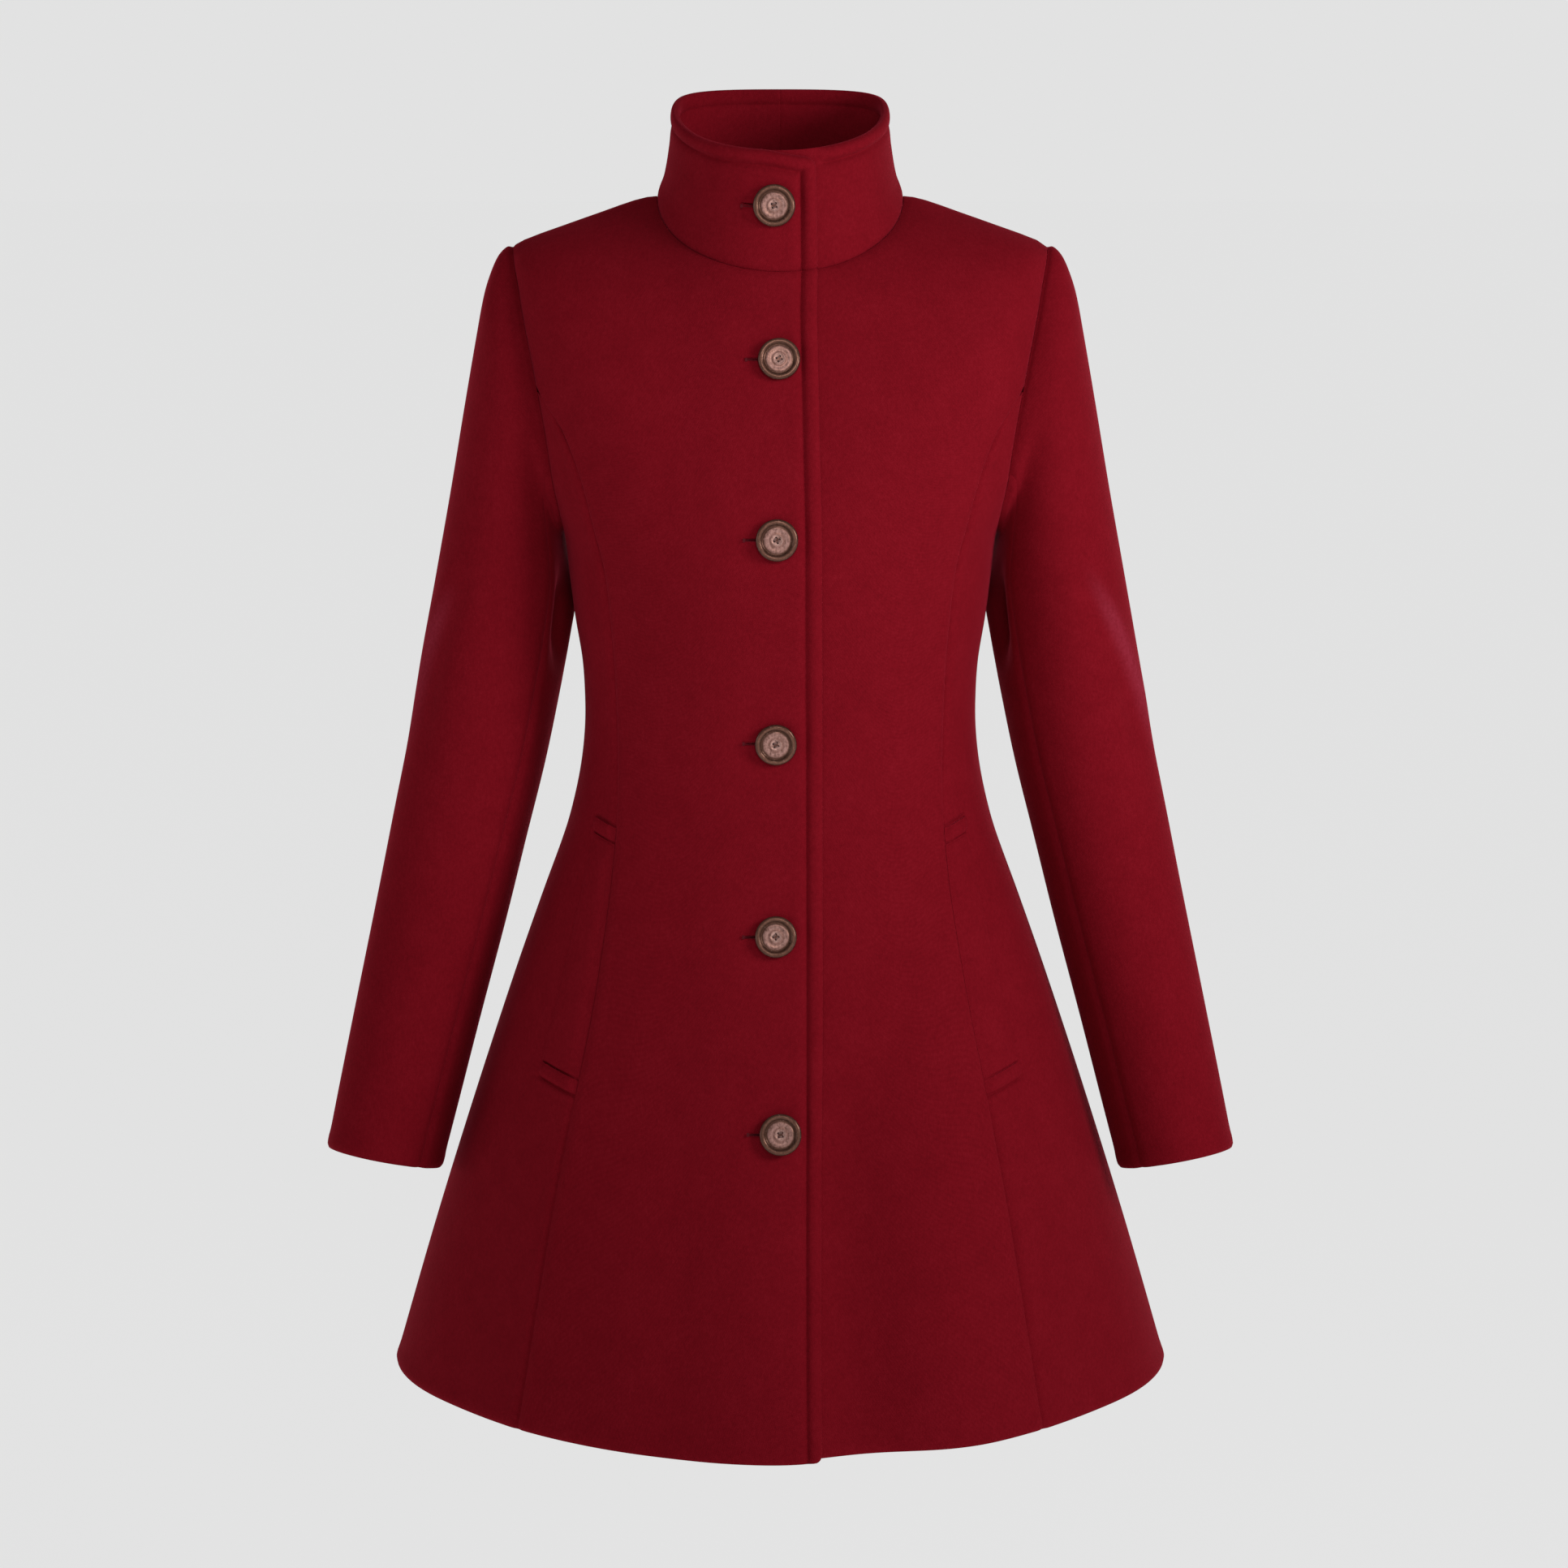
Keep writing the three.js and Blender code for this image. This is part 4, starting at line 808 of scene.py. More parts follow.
def back_net():
    """Half of the back on the wearer's left, from the side and shoulder seams to the centre seam."""
    levels = LEVELS[:, None]
    gap = half_gap(math.pi - ANGLE_STEP, levels)
    seam = ((LEVELS < TIP_LEVEL + TINY) | (LEVELS > UNDERARM_LEVEL - TINY))[:, None]
    begin = armhole_angle(LEVELS, "back")[:, None] + np.where(seam, gap, 0)
    angles = mix(begin, math.pi - gap, np.linspace(0, 1, BACK_COLUMNS))
    net = body_net(angles, levels + 0 * angles)
    mitre_armhole(net, 0, LEVELS, "back")
    net.dip("first", 0.5, 2.2, 0.15).dip("last", 0.7, 2.4, 0.2).dip("top", 0.55, 2.0, 0.15)
    return net.roll_hem()


# Columns of the collar in front, at its side and behind, and its rows below the edge band
COLLAR_COLUMNS = (22, 32, 40)
COLLAR_ROWS = 16
COLLAR_ROW_CLEAR = 7  # from the top buttonhole's middle to the fourth row on each side of it


def collar_columns(right):
    """The front columns' distance from the centre line, and all angles from the lap to the back."""
    sign = -1 if right else 1
    in_front, at_side, behind = COLLAR_COLUMNS
    if right:
        x = front_columns(np.zeros((1, 1)))[0]
    else:
        share = np.arange(in_front) / (in_front - 1)
        x = mix(-LAP_EDGE, front_edge_x(0) + UNDER_REACH, share)
    front = angle_at_x(x, 0.0)
    side = mix(front[-1], sign * QUARTER, shares(at_side))
    gap = half_gap(np.array(math.pi - ANGLE_STEP), np.array(0.0))
    back = mix(sign * QUARTER, sign * (math.pi - gap), shares(behind))
    return x, np.concatenate([front, side, back])[None, :]


def from_rounded_corner(across, down, radius):
    """Distance from the nearer of two edges that meet in a rounded corner."""
    corner = radius - np.hypot(radius - across, radius - down)
    in_corner = (across < radius) & (down < radius)
    return np.where(in_corner, np.maximum(corner, 0), np.minimum(across, down))


def collar_net(right):
    """Half of the stand collar. The right one laps over in front and carries the top button."""
    x, angles = collar_columns(right)
    ones = np.ones_like(angles)
    tall = np.linalg.norm(collar_at(angles, ones) - collar_at(angles, 0 * ones), axis=-1)
    at_x = body_at(angles, 0 * ones)[..., 0]
    in_front = np.abs(angles) < QUARTER
    band_height = 1.35 - 0.75 * smooth((np.abs(angles) - 0.8) / 0.7)
    if right:
        from_lap = np.where(in_front, np.maximum(0, front_edge_x(0) - at_x), NO_EDGE)
        sink = LAP_RIM_SINK * smooth((at_x + 14) / 38) * in_front
        shift = lap_lift(at_x)
    else:
        from_lap, sink = NO_EDGE * ones, 0 * ones
        shift = -collar_sink(at_x)
        band_height = band_height * np.where(in_front, smooth((at_x - 26) / 8), 1)
    cut = corner_drop(from_lap, COLLAR_CORNER) + sink
    band = 1 - (BAND_COLUMNS[:, None] + cut) / tall
    plain = mix(band[-1], SEAM_GAP / tall, shares(COLLAR_ROWS)[:, None])
    rise = np.concatenate([band, plain])
    holes, opened = [], 0
    if right:
        rise, holes, opened = collar_slit(rise, x, tall)
    spread = angles + 0 * rise
    mitre = unit(body_out(spread, 0 * rise) + collar_out(spread, 0 * rise))
    seam = smooth(rise * tall / 7)[..., None]
    out = unit(mix(mitre, collar_out(spread, rise), seam))
    net = Cloth(collar_at(spread, rise), out, COLLAR_CLOTH)
    from_rim = (1 - rise) * tall - sink
    relief = edge_band(from_rounded_corner(from_lap, from_rim, COLLAR_CORNER)) * band_height
    net.at = net.at + net.out * (np.where(in_front, shift, 0) + 0 * rise)[..., None]
    net.face = relief + opened
    net.inside = -relief
    net.relief(seam_dip(rise * tall, 1.7, 2.2, 0.3)).dip("last", 0.3, 1.6, 0.1)
    return net, holes


def collar_slit(rise, x, tall):
    """Puts the top buttonhole between the two rows of the collar that lie nearest to it."""
    button_x, middle = COLLAR_BUTTON
    n = len(x)
    at_button = int(np.argmin(np.abs(x - button_x)))
    row = int(np.argmin(np.abs(rise[:, at_button] - middle)))
    is_open, half, off_x = buttonhole(x, button_x)
    rise = rise.copy()
    # The rows that are moved for the buttonhole run back to their own places beyond the lap
    fade = smooth(np.arange(1, rise.shape[1] - n + 1) / 10)
    for step, off in enumerate([half + off_lip for off_lip in LIP_ROWS] + [COLLAR_ROW_CLEAR]):
        for at_row, way in ((row - step, -1), (row + 1 + step, 1)):
            held = middle - way * off / tall[0, :n]
            rise[at_row, :n] = held
            rise[at_row, n:] = mix(held[-1], rise[at_row, n:], fade)
    cells = np.flatnonzero(is_open[:-1] & is_open[1:])
    opened = np.zeros_like(rise)
    off_z = np.clip(np.abs(rise[:, :n] - middle) * tall[0, :n] - half, 0, None)
    opened[:, :n] = lip(np.hypot(off_x, off_z))
    return rise, [(row, int(c)) for c in cells], opened


# Rows at the cuff's edge, counted back from the last ring
CUFF_ROWS = np.array([0.17, 0.1, 0.05, 0.02, 0.006, 0])


def sleeve_net(turns):
    """One part of the left sleeve between two turns, from the armhole to the cuff."""
    last = len(SLEEVE_RINGS) - 1
    cap_rows = np.linspace(0, CAP_ROWS, 37)[:-1]
    arm_rows = np.linspace(CAP_ROWS, last - 0.25, 88)
    rows = np.concatenate([cap_rows, arm_rows, last - CUFF_ROWS])[:, None]
    ends = np.zeros(len(turns))
    ends[0], ends[-1] = SEAM_GAP / 100, -SEAM_GAP / 100
    here = sleeve_turn(turns[None, :], rows) + ends
    spread = rows + 0 * here
    wrapped = np.where(here > math.pi, here - 2 * math.pi, here)
    out = sleeve_out(here, spread)
    level = armhole_level(wrapped[0])
    front, back = (body_out(armhole_angle(level, s), level) for s in ("front", "back"))
    panel = np.where((wrapped[0] >= 0)[:, None], front, back)
    out[0] = unit(panel + sleeve_out(here[0], spread[0]))
    net = Cloth(sleeve_at(here, spread), out, CLOTH)
    seam = 1.3 * smooth((rows - 6.5) / 3)
    net.dip("first", seam, 2.3, 0.3).dip("last", seam, 2.3, 0.3)
    return net.dip_cap().roll_hem()


def upper_sleeve_net():
    turns = np.concatenate([UPPER_TURNS[:-1], MIDDLE_TURNS])
    return sleeve_net(np.concatenate([-turns[:0:-1], turns]))


def under_sleeve_net():
    return sleeve_net(np.concatenate([LOWER_TURNS, 2 * math.pi - LOWER_TURNS[-2::-1]]))


def angle_along(begin, width, level):
    """The angle reached from another by going a given way round the cloth."""
    step = 0.01
    angle = begin.copy()
    left = width.copy()
    for _ in range(60):
        piece = np.linalg.norm(body_at(angle + step, level) - body_at(angle, level), axis=-1)
        share = np.clip(left / piece, 0, 1)
        angle = angle + step * share
        left = left - piece * share
    return angle


def eased(count):
    """Shares from 0 to 1 that lie closer together towards both ends."""
    return (1 - np.cos(np.linspace(0, math.pi, count))) / 2


POCKET_COLUMNS = 21


def pocket_net(top, bottom, rows, height):
    """A flat piece of the slanted pocket on the left side front, standing a little off it."""
    across = eased(POCKET_COLUMNS)
    levels = mix(top, bottom, eased(rows))[:, None]
    begin = front_panel_end(levels[:, 0])[:, None]
    begin = begin + half_gap(begin, levels)
    width = welt_width(levels)
    angles = mix(begin, angle_along(begin, width, levels), across)
    slanted = levels - POCKET_SLANT * width * across
    net = body_net(angles, slanted)
    net.at = net.at + net.out * height
    return net


def welt_net():
    """The welt, which sinks into the seam and under the upper bar."""
    net = pocket_net(WELT_TOP + 0.8, WELT_BOTTOM - 0.8, 60, 1.7)
    sunk = np.maximum(bell(net.from_edge("first"), 7), bell(net.from_edge("top"), 12))
    net.face = -2.3 * sunk - 0.5 * bell(net.from_edge("last"), 1.6) * (1 - sunk)
    net.wall = np.full(net.wall.shape, 2.6)
    return net


def bar_net(top, bottom):
    """A bar with rounded edges, which sinks into the seam."""
    net = pocket_net(top + 0.9, bottom - 0.9, 17, 2.1)
    ends = np.minimum(net.from_edge("top"), net.from_edge("bottom"))
    sunk = bell(net.from_edge("first"), 4)
    rounded = 0.9 * bell(ends, 1.8) + 0.8 * bell(net.from_edge("last"), 2.2)
    net.face = -2.7 * sunk - rounded * (1 - sunk)
    net.wall = np.full(net.wall.shape, 3.0)
    return net


class Val:
    """A number or vector socket, so that shader maths is written as plain expressions."""

    def __init__(self, tree, socket):
        self.tree, self.socket = tree, socket

    def math(self, operation, *others, first=None):
        """Adds a Math node on this value and others, or on another value followed by this one."""
        node = self.tree.nodes.new("ShaderNodeMath")
        node.operation = operation
        values = (self, *others) if first is None else (first, self)
        for slot, value in zip(node.inputs, values):
            connect(value, slot)
        return Val(self.tree, node.outputs[0])

    def __add__(self, other):
        return self.math("ADD", other)

    __radd__ = __add__

    def __sub__(self, other):
        return self.math("SUBTRACT", other)

    def __rsub__(self, other):
        return self.math("SUBTRACT", first=other)

    def __mul__(self, other):
        return self.math("MULTIPLY", other)

    __rmul__ = __mul__

    def __truediv__(self, other):
        return self.math("DIVIDE", other)

    def __rtruediv__(self, other):
        return self.math("DIVIDE", first=other)

    def sine(self):
        return self.math("SINE")

    def held(self):
        """The value kept between 0 and 1."""
        return self.math("MAXIMUM", 0.0).math("MINIMUM", 1.0)


def connect(value, slot):
    """Feeds a socket from another one, or sets it to a constant."""
    if isinstance(value, Val):
        value.tree.links.new(value.socket, slot)
    else:
        slot.default_value = value


class Finish:
    """A material under construction."""

    def __init__(self, name):
        self.material = bpy.data.materials.new(name)
        self.material.use_nodes = True
        self.tree = self.material.node_tree
        self.shader = next(n for n in self.tree.nodes if n.type == "BSDF_PRINCIPLED")

    def node(self, kind, settings=None, out=0, **values):
        made = self.tree.nodes.new(kind)
        for key, value in (settings or {}).items():
            if key == "stops":
                self.ramp(made, value)
            else:
                setattr(made, key, value)
        for key, value in values.items():
            named = key.replace("_", " ")
            connect(value, made.inputs[int(key[1:]) if key[1:].isdigit() else named])
        return Val(self.tree, made.outputs[out])

    def ramp(self, made, stops):
        elements = made.color_ramp.elements
        while len(elements) < len(stops):
            elements.new(0.5)
        for element, (position, colour) in zip(elements, stops):
            element.position, element.color = position, (*colour, 1)

    def blend(self, share, first, second):
        """A colour between two others."""
        first, second = (c if isinstance(c, Val) else (*c, 1) for c in (first, second))
        return self.node("ShaderNodeMix", {"data_type": "RGBA"}, out=2, i0=share, i6=first, i7=second)

    def noise(self, place, scale, detail=3.0, roughness=0.55):
        return self.node("ShaderNodeTexNoise", Vector=place, Scale=scale, Detail=detail, Roughness=roughness)

    def place(self):
        return self.node("ShaderNodeTexCoord", out=3)

    def grain(self, name):
        return self.node("ShaderNodeUVMap", {"uv_map": name})

    def mapped(self, place, scale):
        return self.node("ShaderNodeMapping", Vector=place, Scale=scale)

    def bump(self, height, distance, strength=1.0):
        return self.node("ShaderNodeBump", Strength=strength, Distance=distance, Height=height)

    def set(self, **values):
        for key, value in values.items():
            connect(value, self.shader.inputs[key.replace("_", " ")])
        return self.material


WOOL_RED = (0.176, 0.0042, 0.0098)
WOOL_DEEP = (0.132, 0.0031, 0.0072)
WOOL_LIGHT = (0.222, 0.0074, 0.0152)
WOOL_PAINTED_HIGHLIGHT = (0.3, 0.03, 0.055)


def napped_wool():
    """Dense wool cloth: fine felted nap over a close weave, matt, with a soft pale bloom."""
    wool = Finish("napped_red_wool")
    place = wool.place()
    grain = wool.grain("cloth_grain")
    fluff = wool.noise(place, 1500, 3, 0.6)
    tufts = wool.noise(place, 420, 4, 0.6)
    patches = wool.noise(place, 60, 3, 0.5)
    broad = wool.noise(place, 9, 2, 0.5)
    strokes = wool.noise(wool.mapped(grain, (900, 240, 1)), 1, 3, 0.6)
    across = wool.node("ShaderNodeSeparateXYZ", out=0, Vector=grain)
    along = wool.node("ShaderNodeSeparateXYZ", out=1, Vector=grain)
    weave = (across * 3400 + along * 1200).sine() * (along * 3400 - across * 1200).sine()
    shade = fluff * 0.3 + tufts * 0.28 + strokes * 0.2 + patches * 0.14 + broad * 0.08 + weave * 0.035
    tones = ((0.34, WOOL_DEEP), (0.5, WOOL_RED), (0.68, WOOL_LIGHT))
    tone = wool.node("ShaderNodeValToRGB", {"stops": tones}, i0=shade)
    # Painted highlight: a paler red along the elbow creases, where their ridges catch the light
    painted_highlight = wool.node("ShaderNodeAttribute", {"attribute_name": "pale_nap"}, out=2)
    tone = wool.blend(painted_highlight * (tufts * 0.9 + 0.1), tone, WOOL_PAINTED_HIGHLIGHT)
    height = fluff * 0.4 + tufts * 0.8 + strokes * 0.35 + weave * 0.16
    normal = wool.bump(height, 0.00035, 0.55)
    roughness = tufts * 0.12 + 0.84
    return wool.set(
        Base_Color=tone, Roughness=roughness, Normal=normal, Specular_IOR_Level=0.02,
        Sheen_Weight=0.3, Sheen_Roughness=0.32, Sheen_Tint=(1.0, 0.07, 0.13, 1),
    )


HORN_SHADE = (0.07, 0.03, 0.022)
HORN_FLECK = (0.75, 0.47, 0.42)
# The button's colours by share of its radius: dark middle with painted shade of the holes, pale
# ring, mottled disc, dark groove with painted shade, the brown ring outside it, and painted shade
# on its outer edge
HORN_TONES_AND_SHADE = (
    (0, (0.1, 0.045, 0.035)), (0.08, (0.14, 0.06, 0.05)), (0.16, (0.52, 0.31, 0.27)),
    (0.23, (0.5, 0.3, 0.26)), (0.31, (0.26, 0.13, 0.11)), (0.45, (0.42, 0.235, 0.205)),
    (0.58, (0.34, 0.18, 0.155)), (0.65, (0.05, 0.022, 0.014)), (0.76, (0.022, 0.01, 0.006)),
    (0.85, (0.17, 0.08, 0.055)), (0.93, (0.06, 0.027, 0.018)), (1, (0.012, 0.006, 0.004)),
)


def polished_horn():
    """Horn-like buttons: a dark streaked rim round a mottled, paler middle."""
    horn = Finish("polished_horn_button")
    disc = horn.grain("button_disc")
    place = horn.place()
    x = horn.node("ShaderNodeSeparateXYZ", out=0, Vector=disc)
    y = horn.node("ShaderNodeSeparateXYZ", out=1, Vector=disc)
    wander = horn.noise(place, 260, 3, 0.6) - 0.5
    share = ((x * x + y * y).math("SQRT") + wander * 1.3) / 14
    # Painted shade: the tones darken the groove, the outer edge and the middle between the holes
    tones = horn.node("ShaderNodeValToRGB", {"stops": HORN_TONES_AND_SHADE}, i0=share)
    speckle = horn.noise(place, 620, 4, 0.7)
    streaks = horn.noise(horn.mapped(disc, (0.34, 0.12, 1)), 1.3, 4, 0.6)
    mottle = speckle * 2.2 + streaks * 2.4 - 1.6
    shaded = horn.blend(mottle.held(), HORN_SHADE, tones)
    fleck = ((speckle - 0.6) * 1.6).math("MAXIMUM", 0.0)
    colour = horn.blend(fleck, shaded, HORN_FLECK)
    normal = horn.bump(speckle, 0.00012, 0.4)
    return horn.set(
        Base_Color=colour, Roughness=0.3 - share * 0.06, Normal=normal,
        Specular_IOR_Level=0.6, Specular_Tint=(1.0, 0.5, 0.36, 1),
    )


def twisted_thread(name, deep, light):
    """Twisted thread between two tones."""
    thread = Finish(name)
    place = thread.place()
    twist = thread.noise(place, 2600, 3, 0.6)
    colour = thread.blend(twist, deep, light)
    normal = thread.bump(twist, 0.00012, 0.6)
    return thread.set(Base_Color=colour, Roughness=0.62, Normal=normal, Specular_IOR_Level=0.1)


FLOOR_TONE = 0.2
FLOOR_GLOW = 0.715
FLOOR_LEVEL = -1.45
FLOOR_REACH = 150


def studio_paper():
    """Matt pale paper of the studio floor."""
    floor = Finish("pale_studio_floor")
    place = floor.place()
    cloud = floor.noise(place, 0.6, 2, 0.5)
    colour = floor.blend(cloud, (FLOOR_TONE * 0.998,) * 3, (FLOOR_TONE * 1.002,) * 3)
    return floor.set(
        Base_Color=colour, Roughness=1.0, Specular_IOR_Level=0.0,
        Emission_Color=(1, 1, 1, 1), Emission_Strength=FLOOR_GLOW,
    )


def dress(obj, material, node=None):
    """Gives a piece its finish and the solid that it takes the place of."""
    obj.data.materials.clear()
    obj.data.materials.append(material)
    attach(obj, "root")
    if node:
        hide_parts(node)


def seat_matrix(at, out, stand=0.0):
    """Places a piece that is modelled on the XY plane, with its X axis to the wearer's left."""
    out = Vector(out)
    right = (Vector((1, 0, 0)) - out * out.x).normalized()
    up = out.cross(right)
    turn = Matrix((right, up, out)).transposed().to_4x4()
    return Matrix.Translation(Vector(at) * MM + out * stand * MM) @ turn


# The button's outline by radius and height: its back, rim, groove, disc and sunken middle
BUTTON_PROFILE = (
    (0.01, 0), (6, 0), (9, 0.1), (11.4, 0.35), (13, 0.95), (13.75, 1.7), (14, 2.5), (13.85, 3.2),
    (13.4, 3.85), (12.7, 4.25), (11.9, 4.4), (11.1, 4.2), (10.5, 3.65), (10.05, 3.0), (9.7, 2.65),
    (9.2, 2.6), (8.7, 2.85), (8.2, 3.1), (7.2, 3.05), (6.0, 2.85), (4.9, 2.75), (4.4, 2.95),
    (3.9, 3.1), (3.5, 2.95), (3.2, 2.6), (2.4, 2.45), (0.01, 2.45),
)
HOLE_SPREAD = 1.75  # from the button's middle to the middle of a hole
HOLE_RADIUS = 0.78
THREAD_RADIUS = 0.2


def hole_at(turn, number):
    """The middle of one of a button's four holes."""
    angle = turn + (number + 0.5) * QUARTER
    return np.array([math.cos(angle), math.sin(angle)]) * HOLE_SPREAD


def button_drill(name, turn):
    """Four pins in the places of a button's holes."""
    bm = bmesh.new()
    for number in range(4):
        x, y = hole_at(turn, number)
        bmesh.ops.create_cone(
            bm, cap_ends=True, segments=16, radius1=HOLE_RADIUS * MM, radius2=HOLE_RADIUS * MM,
            depth=8 * MM, matrix=Matrix.Translation((x * MM, y * MM, 2 * MM)),
        )
    return linked(name, as_mesh(name, bm))


def make_button(name, seat, turn):
    """A four-hole button, turned on a lathe and drilled."""
    bm = bmesh.new()
    line = [bm.verts.new((r * MM, 0, z * MM)) for r, z in BUTTON_PROFILE]
    edges = [bm.edges.new(pair) for pair in zip(line, line[1:])]
    bmesh.ops.spin(
        bm, geom=line + edges, cent=(0, 0, 0), axis=(0, 0, 1), angle=2 * math.pi, steps=64,
        use_merge=True,
    )
    bmesh.ops.remove_doubles(bm, verts=bm.verts[:], dist=2e-5)
    bmesh.ops.holes_fill(bm, edges=[e for e in bm.edges if e.is_boundary], sides=0)
    bmesh.ops.recalc_face_normals(bm, faces=bm.faces[:])
    obj = linked(name, as_mesh(name, bm))
    drill = button_drill(name + "_drill", turn)
    cut = obj.modifiers.new("holes", "BOOLEAN")
    cut.operation, cut.solver, cut.object = "DIFFERENCE", "EXACT", drill
    drilled = as_finished(obj)
    obj.modifiers.clear()
    obj.data = drilled
    bpy.data.objects.remove(drill)
    disc = drilled.uv_layers.new(name="button_disc")
    for loop in drilled.loops:
        co = drilled.vertices[loop.vertex_index].co
        disc.uv[loop.index].vector = (co.x / MM, co.y / MM)
    drilled.transform(seat)
    drilled.shade_smooth()
    drilled.set_sharp_from_angle(angle=math.radians(48))
    return obj


def thread_piece(name, strands, seat, closed=False):
    """Threads that follow lists of points on the XY plane of a seat, in millimetres."""
    curves = bpy.data.curves.new(name, "CURVE")
    curves.dimensions = "3D"
    curves.bevel_depth, curves.bevel_resolution = THREAD_RADIUS * MM, 2
    for strand in strands:
        spline = curves.splines.new("POLY")
        spline.points.add(len(strand) - 1)
        spline.use_cyclic_u = closed
        for point, (x, y, z, radius) in zip(spline.points, strand):
            point.co, point.radius = (x * MM, y * MM, z * MM, 1), radius
    line = linked(name + "_line", curves)
    mesh = as_finished(line)
    bpy.data.objects.remove(line)
    mesh.transform(seat)
    mesh.shade_smooth()
    return linked(name, mesh)


def button_thread(name, seat, turn):
    """Strands that pass over the button's middle from hole to hole."""
    strands = []
    for pair in ((0, 1), (3, 2)):
        start, end = (hole_at(turn, number) for number in pair)
        side = np.array([end[1] - start[1], start[0] - end[0]]) / np.linalg.norm(end - start)
        for shift in (-0.3, 0, 0.3):
            line = []
            for t in np.linspace(0, 1, 13):
                x, y = mix(start, end, t) + side * shift
                z = 2.35 + 0.75 * math.sin(math.pi * t) ** 0.5 if 0 < t < 1 else 0.6
                line.append((x, y, z, 1))
            strands.append(line)
    return thread_piece(name, strands, seat)


def buttonhole_thread(name, seat):
    """The close stitches round a buttonhole, ended by a short bar."""
    outline = []
    for x in np.linspace(-SLIT_REACH + 0.2, -EYELET_REACH, 46):
        outline.append((x, float(slit_half_height(x, 0.0)) + 0.25))
    for a in np.linspace(math.pi * 0.78, 0, 15):
        outline.append((2.65 * math.cos(a), 2.65 * math.sin(a)))
    ring = outline + [(x, -y) for x, y in outline[-2::-1]]
    loop = [(x, y, 0.3, 1.0 + 0.28 * (k % 2)) for k, (x, y) in enumerate(ring)]
    bar = []
    for k in range(5):
        x = -SLIT_REACH - 0.35 + 0.3 * k
        bar.append([(x, y, 0.28 + 0.3 * (1 - (y / 1.3) ** 2), 0.9) for y in np.linspace(-1.2, 1.2, 9)])
    stitches = thread_piece(name, [loop], seat, closed=True)
    return stitches, thread_piece(name.replace("stitch", "bar"), bar, seat)


def aim(obj, place, target):
    """Puts a camera or a light at a place and turns it to a target."""
    obj.location = place
    obj.rotation_euler = (Vector(target) - obj.location).to_track_quat("-Z", "Y").to_euler()


# The camera at the photograph's angle
camera_data = bpy.data.cameras.new("photo_camera")
camera_data.lens, camera_data.sensor_width = 85, 36
camera_data.clip_end = 400
camera = linked("photo_camera", camera_data)
aim(camera, (0.0026, -2.5643, 0.0204), (0.0026, 0, -0.4087))
bpy.context.scene.camera = camera

wool_finish = napped_wool()
horn_finish = polished_horn()
hole_thread = twisted_thread("twisted_red_thread", (0.055, 0.003, 0.006), (0.14, 0.008, 0.014))
shank_thread = twisted_thread("twisted_brown_thread", (0.1, 0.05, 0.042), (0.28, 0.17, 0.15))

sheets = {}


def add_cloth(node, kind, net, holes=()):
    """Makes a piece of cloth, which takes the place of its solid."""
    sheets[node] = cloth_piece("wool_" + node, net, kind, holes)
    dress(sheets[node], wool_finish, node)


add_cloth("front_right", "body", *right_front_net())
add_cloth("front_left", "body", left_front_net())
add_cloth("collar_right", "collar", *collar_net(True))
add_cloth("collar_left", "collar", *collar_net(False))
for part_name, kind, net in (
    ("side_front", "body", side_front_net()),
    ("back", "body", back_net()),
    ("upper_sleeve", "sleeve", upper_sleeve_net()),
    ("under_sleeve", "sleeve", under_sleeve_net()),
    ("pocket_welt", "body", welt_net()),
    ("pocket_bar_top", "body", bar_net(BAR_TOP, WELT_TOP)),
    ("pocket_bar_bottom", "body", bar_net(WELT_BOTTOM, BAR_BOTTOM)),
):
    add_cloth(part_name + "_left", kind, net)
    add_cloth(part_name + "_right", kind, net.mirrored())

# Buttons, their threads and the stitched buttonholes
BUTTON_TURNS = (0.2, 0.55, 1.1, 0.35, 0.8, 0.1)
on_front, on_collar = [], []
for number, ((at, out), turn) in enumerate(zip(button_seats(), BUTTON_TURNS), 1):
    stands = seat_matrix(at, out, BUTTON_STAND)
    dress(make_button(f"horn_button_{number}", stands, turn), horn_finish, f"button_{number}")
    dress(button_thread(f"button_thread_{number}", stands, turn), shank_thread)
    for piece in buttonhole_thread(f"buttonhole_stitch_{number}", seat_matrix(at, out)):
        dress(piece, hole_thread)
        (on_collar if number == 1 else on_front).append(piece)


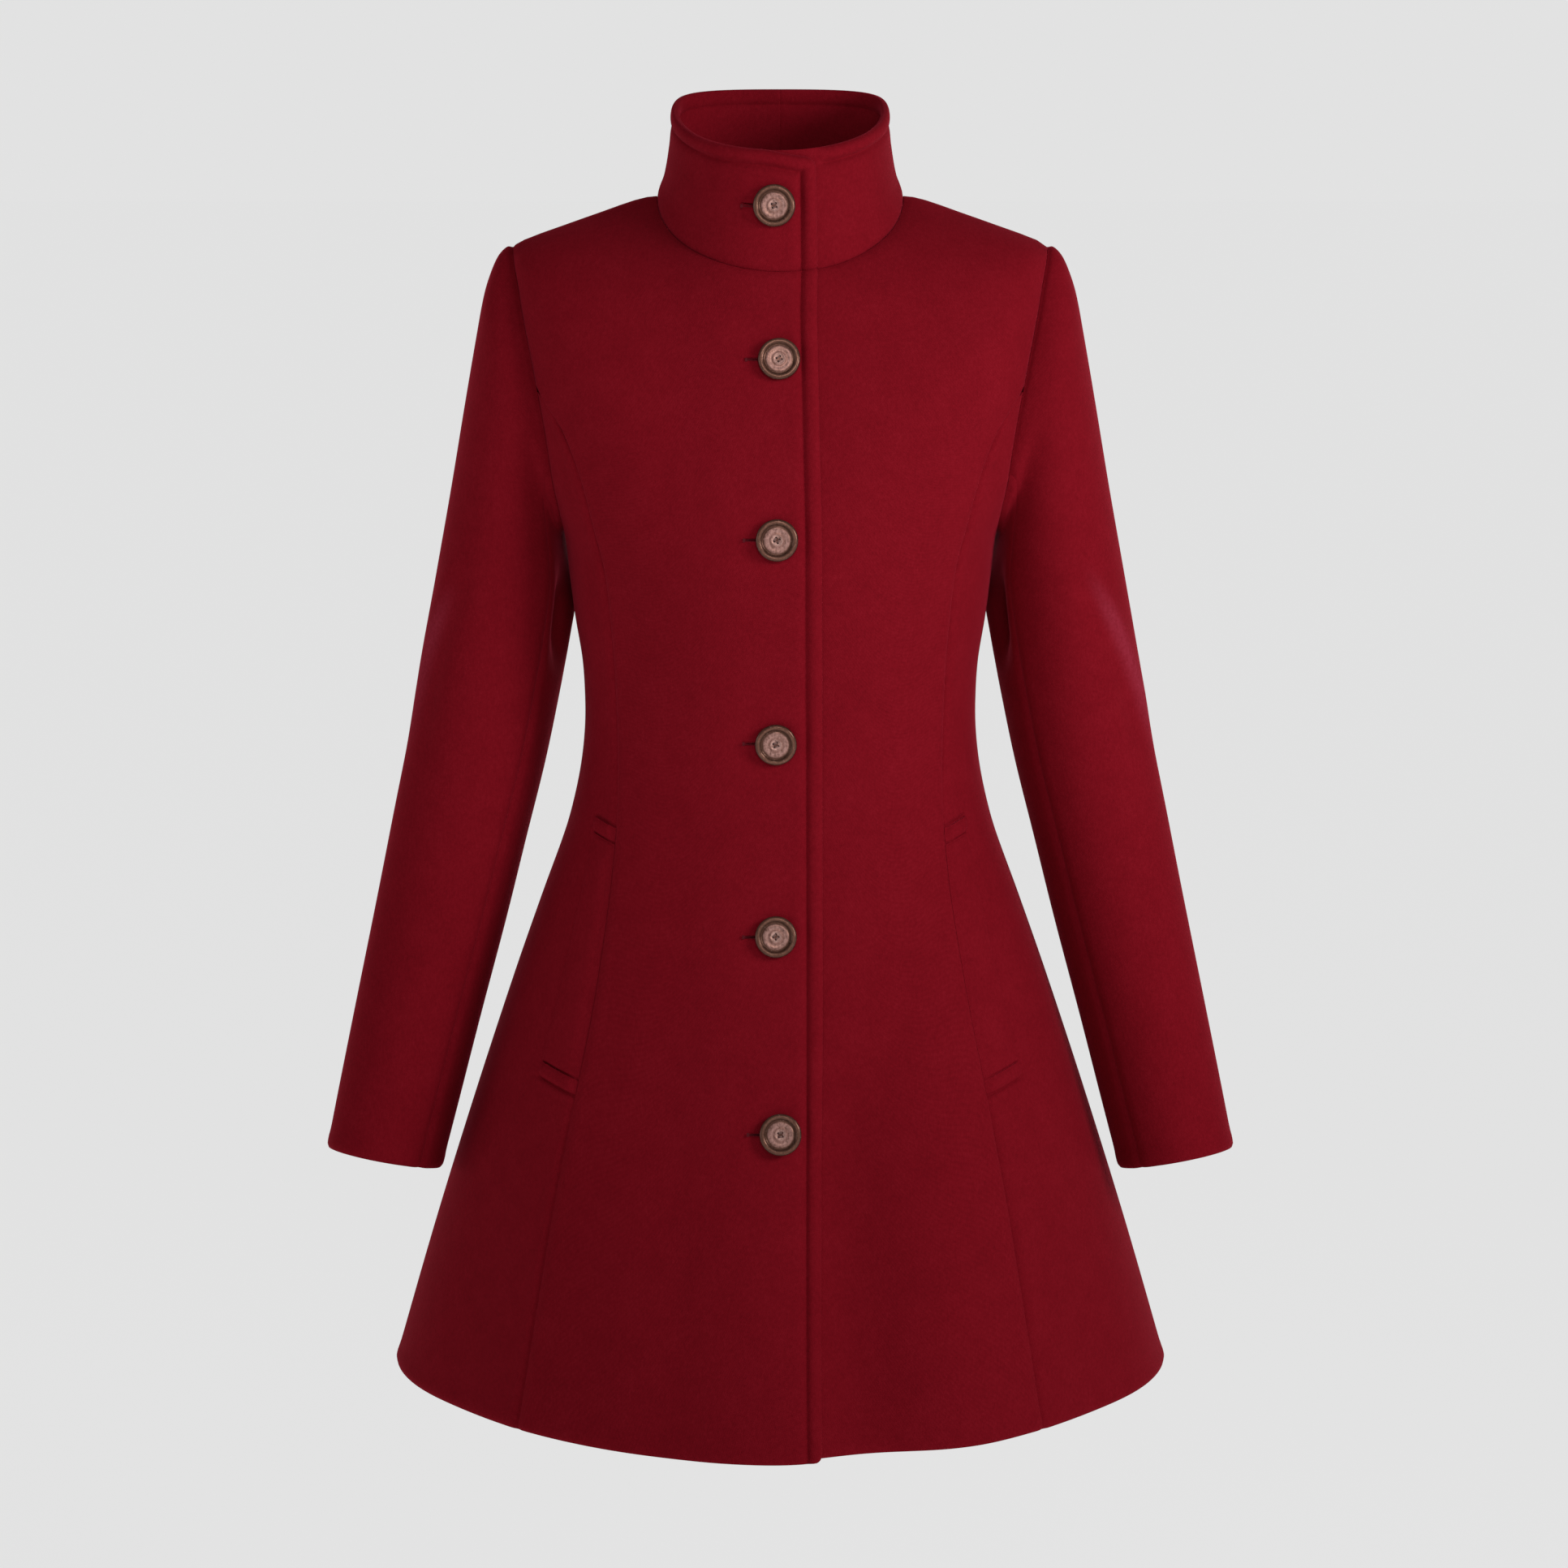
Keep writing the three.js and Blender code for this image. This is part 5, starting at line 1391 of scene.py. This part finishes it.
# The cut of each piece of cloth: its width and length laid flat and its area, in metres, how it
# is held, and what it rests on
CUTS = (
    ("back", 0.38, 0.966, 0.2075, "hung", ("front", "collar")),
    ("front", 0.27, 0.949, 0.1535, "hung", ("back", "collar")),
    ("side_front", 0.188, 0.748, 0.0815, "hung", ("front", "back")),
    ("collar", 0.29, 0.08, 0.0211, "hung", ("front", "back")),
    ("upper_sleeve", 0.345, 0.65, 0.1275, "hung", ("front", "back")),
    ("under_sleeve", 0.149, 0.521, 0.0461, "hung", ("upper_sleeve", "side_front")),
    ("pocket_welt", 0.036, 0.161, 0.0047, "laid", ("side_front",)),
)
for part_name, width, length, area, held, under in CUTS:
    for hand in ("_left", "_right"):
        node = part_name + hand

# Studio: a wide pale floor, an even pale surround and soft light from the upper right
floor_shape = bmesh.new()
bmesh.ops.create_grid(floor_shape, x_segments=1, y_segments=1, size=FLOOR_REACH)
bmesh.ops.translate(floor_shape, verts=floor_shape.verts[:], vec=(0, 0, FLOOR_LEVEL))
floor = linked("studio_floor", as_mesh("studio_floor", floor_shape))
floor.data.materials.append(studio_paper())

# The surround lights the coat less than it shows behind it
world = bpy.data.worlds.new("studio_surround")
bpy.context.scene.world = world
world.use_nodes = True
surround = world.node_tree
background = next(n for n in surround.nodes if n.type == "BACKGROUND")
light_path = surround.nodes.new("ShaderNodeLightPath")
brightness = surround.nodes.new("ShaderNodeMapRange")
brightness.inputs["To Min"].default_value = 0.15
brightness.inputs["To Max"].default_value = 0.761
surround.links.new(light_path.outputs["Is Camera Ray"], brightness.inputs["Value"])
surround.links.new(brightness.outputs[0], background.inputs["Strength"])
background.inputs["Color"].default_value = (1, 1, 1, 1)


def add_light(name, kind, place, target, power, **settings):
    """A light aimed from its place at a target. Of a sun only the direction counts."""
    light = bpy.data.lights.new(name, kind)
    light.energy = power
    for key, value in settings.items():
        setattr(light, key, value)
    aim(linked(name, light), place, target)


add_light("key_light", "AREA", (1.25, -0.95, 0.2), (0, 0, -0.35), 14.5, shape="DISK", size=0.6)
add_light(
    "chest_light", "SPOT", (0.15, -1.75, 0.55), (-0.02, 0, -0.24), 33,
    spot_size=math.radians(34), spot_blend=1, shadow_soft_size=0.25,
)
add_light("fill_light", "SUN", (0, 0, 0), (1.0, 0.2, 0), 0.7, angle=math.radians(40))
add_light("back_light", "SUN", (0, 0, 0), (-0.5, -1.0, -0.3), 0.45, angle=math.radians(40))
bpy.context.scene.view_settings.view_transform = "Standard"
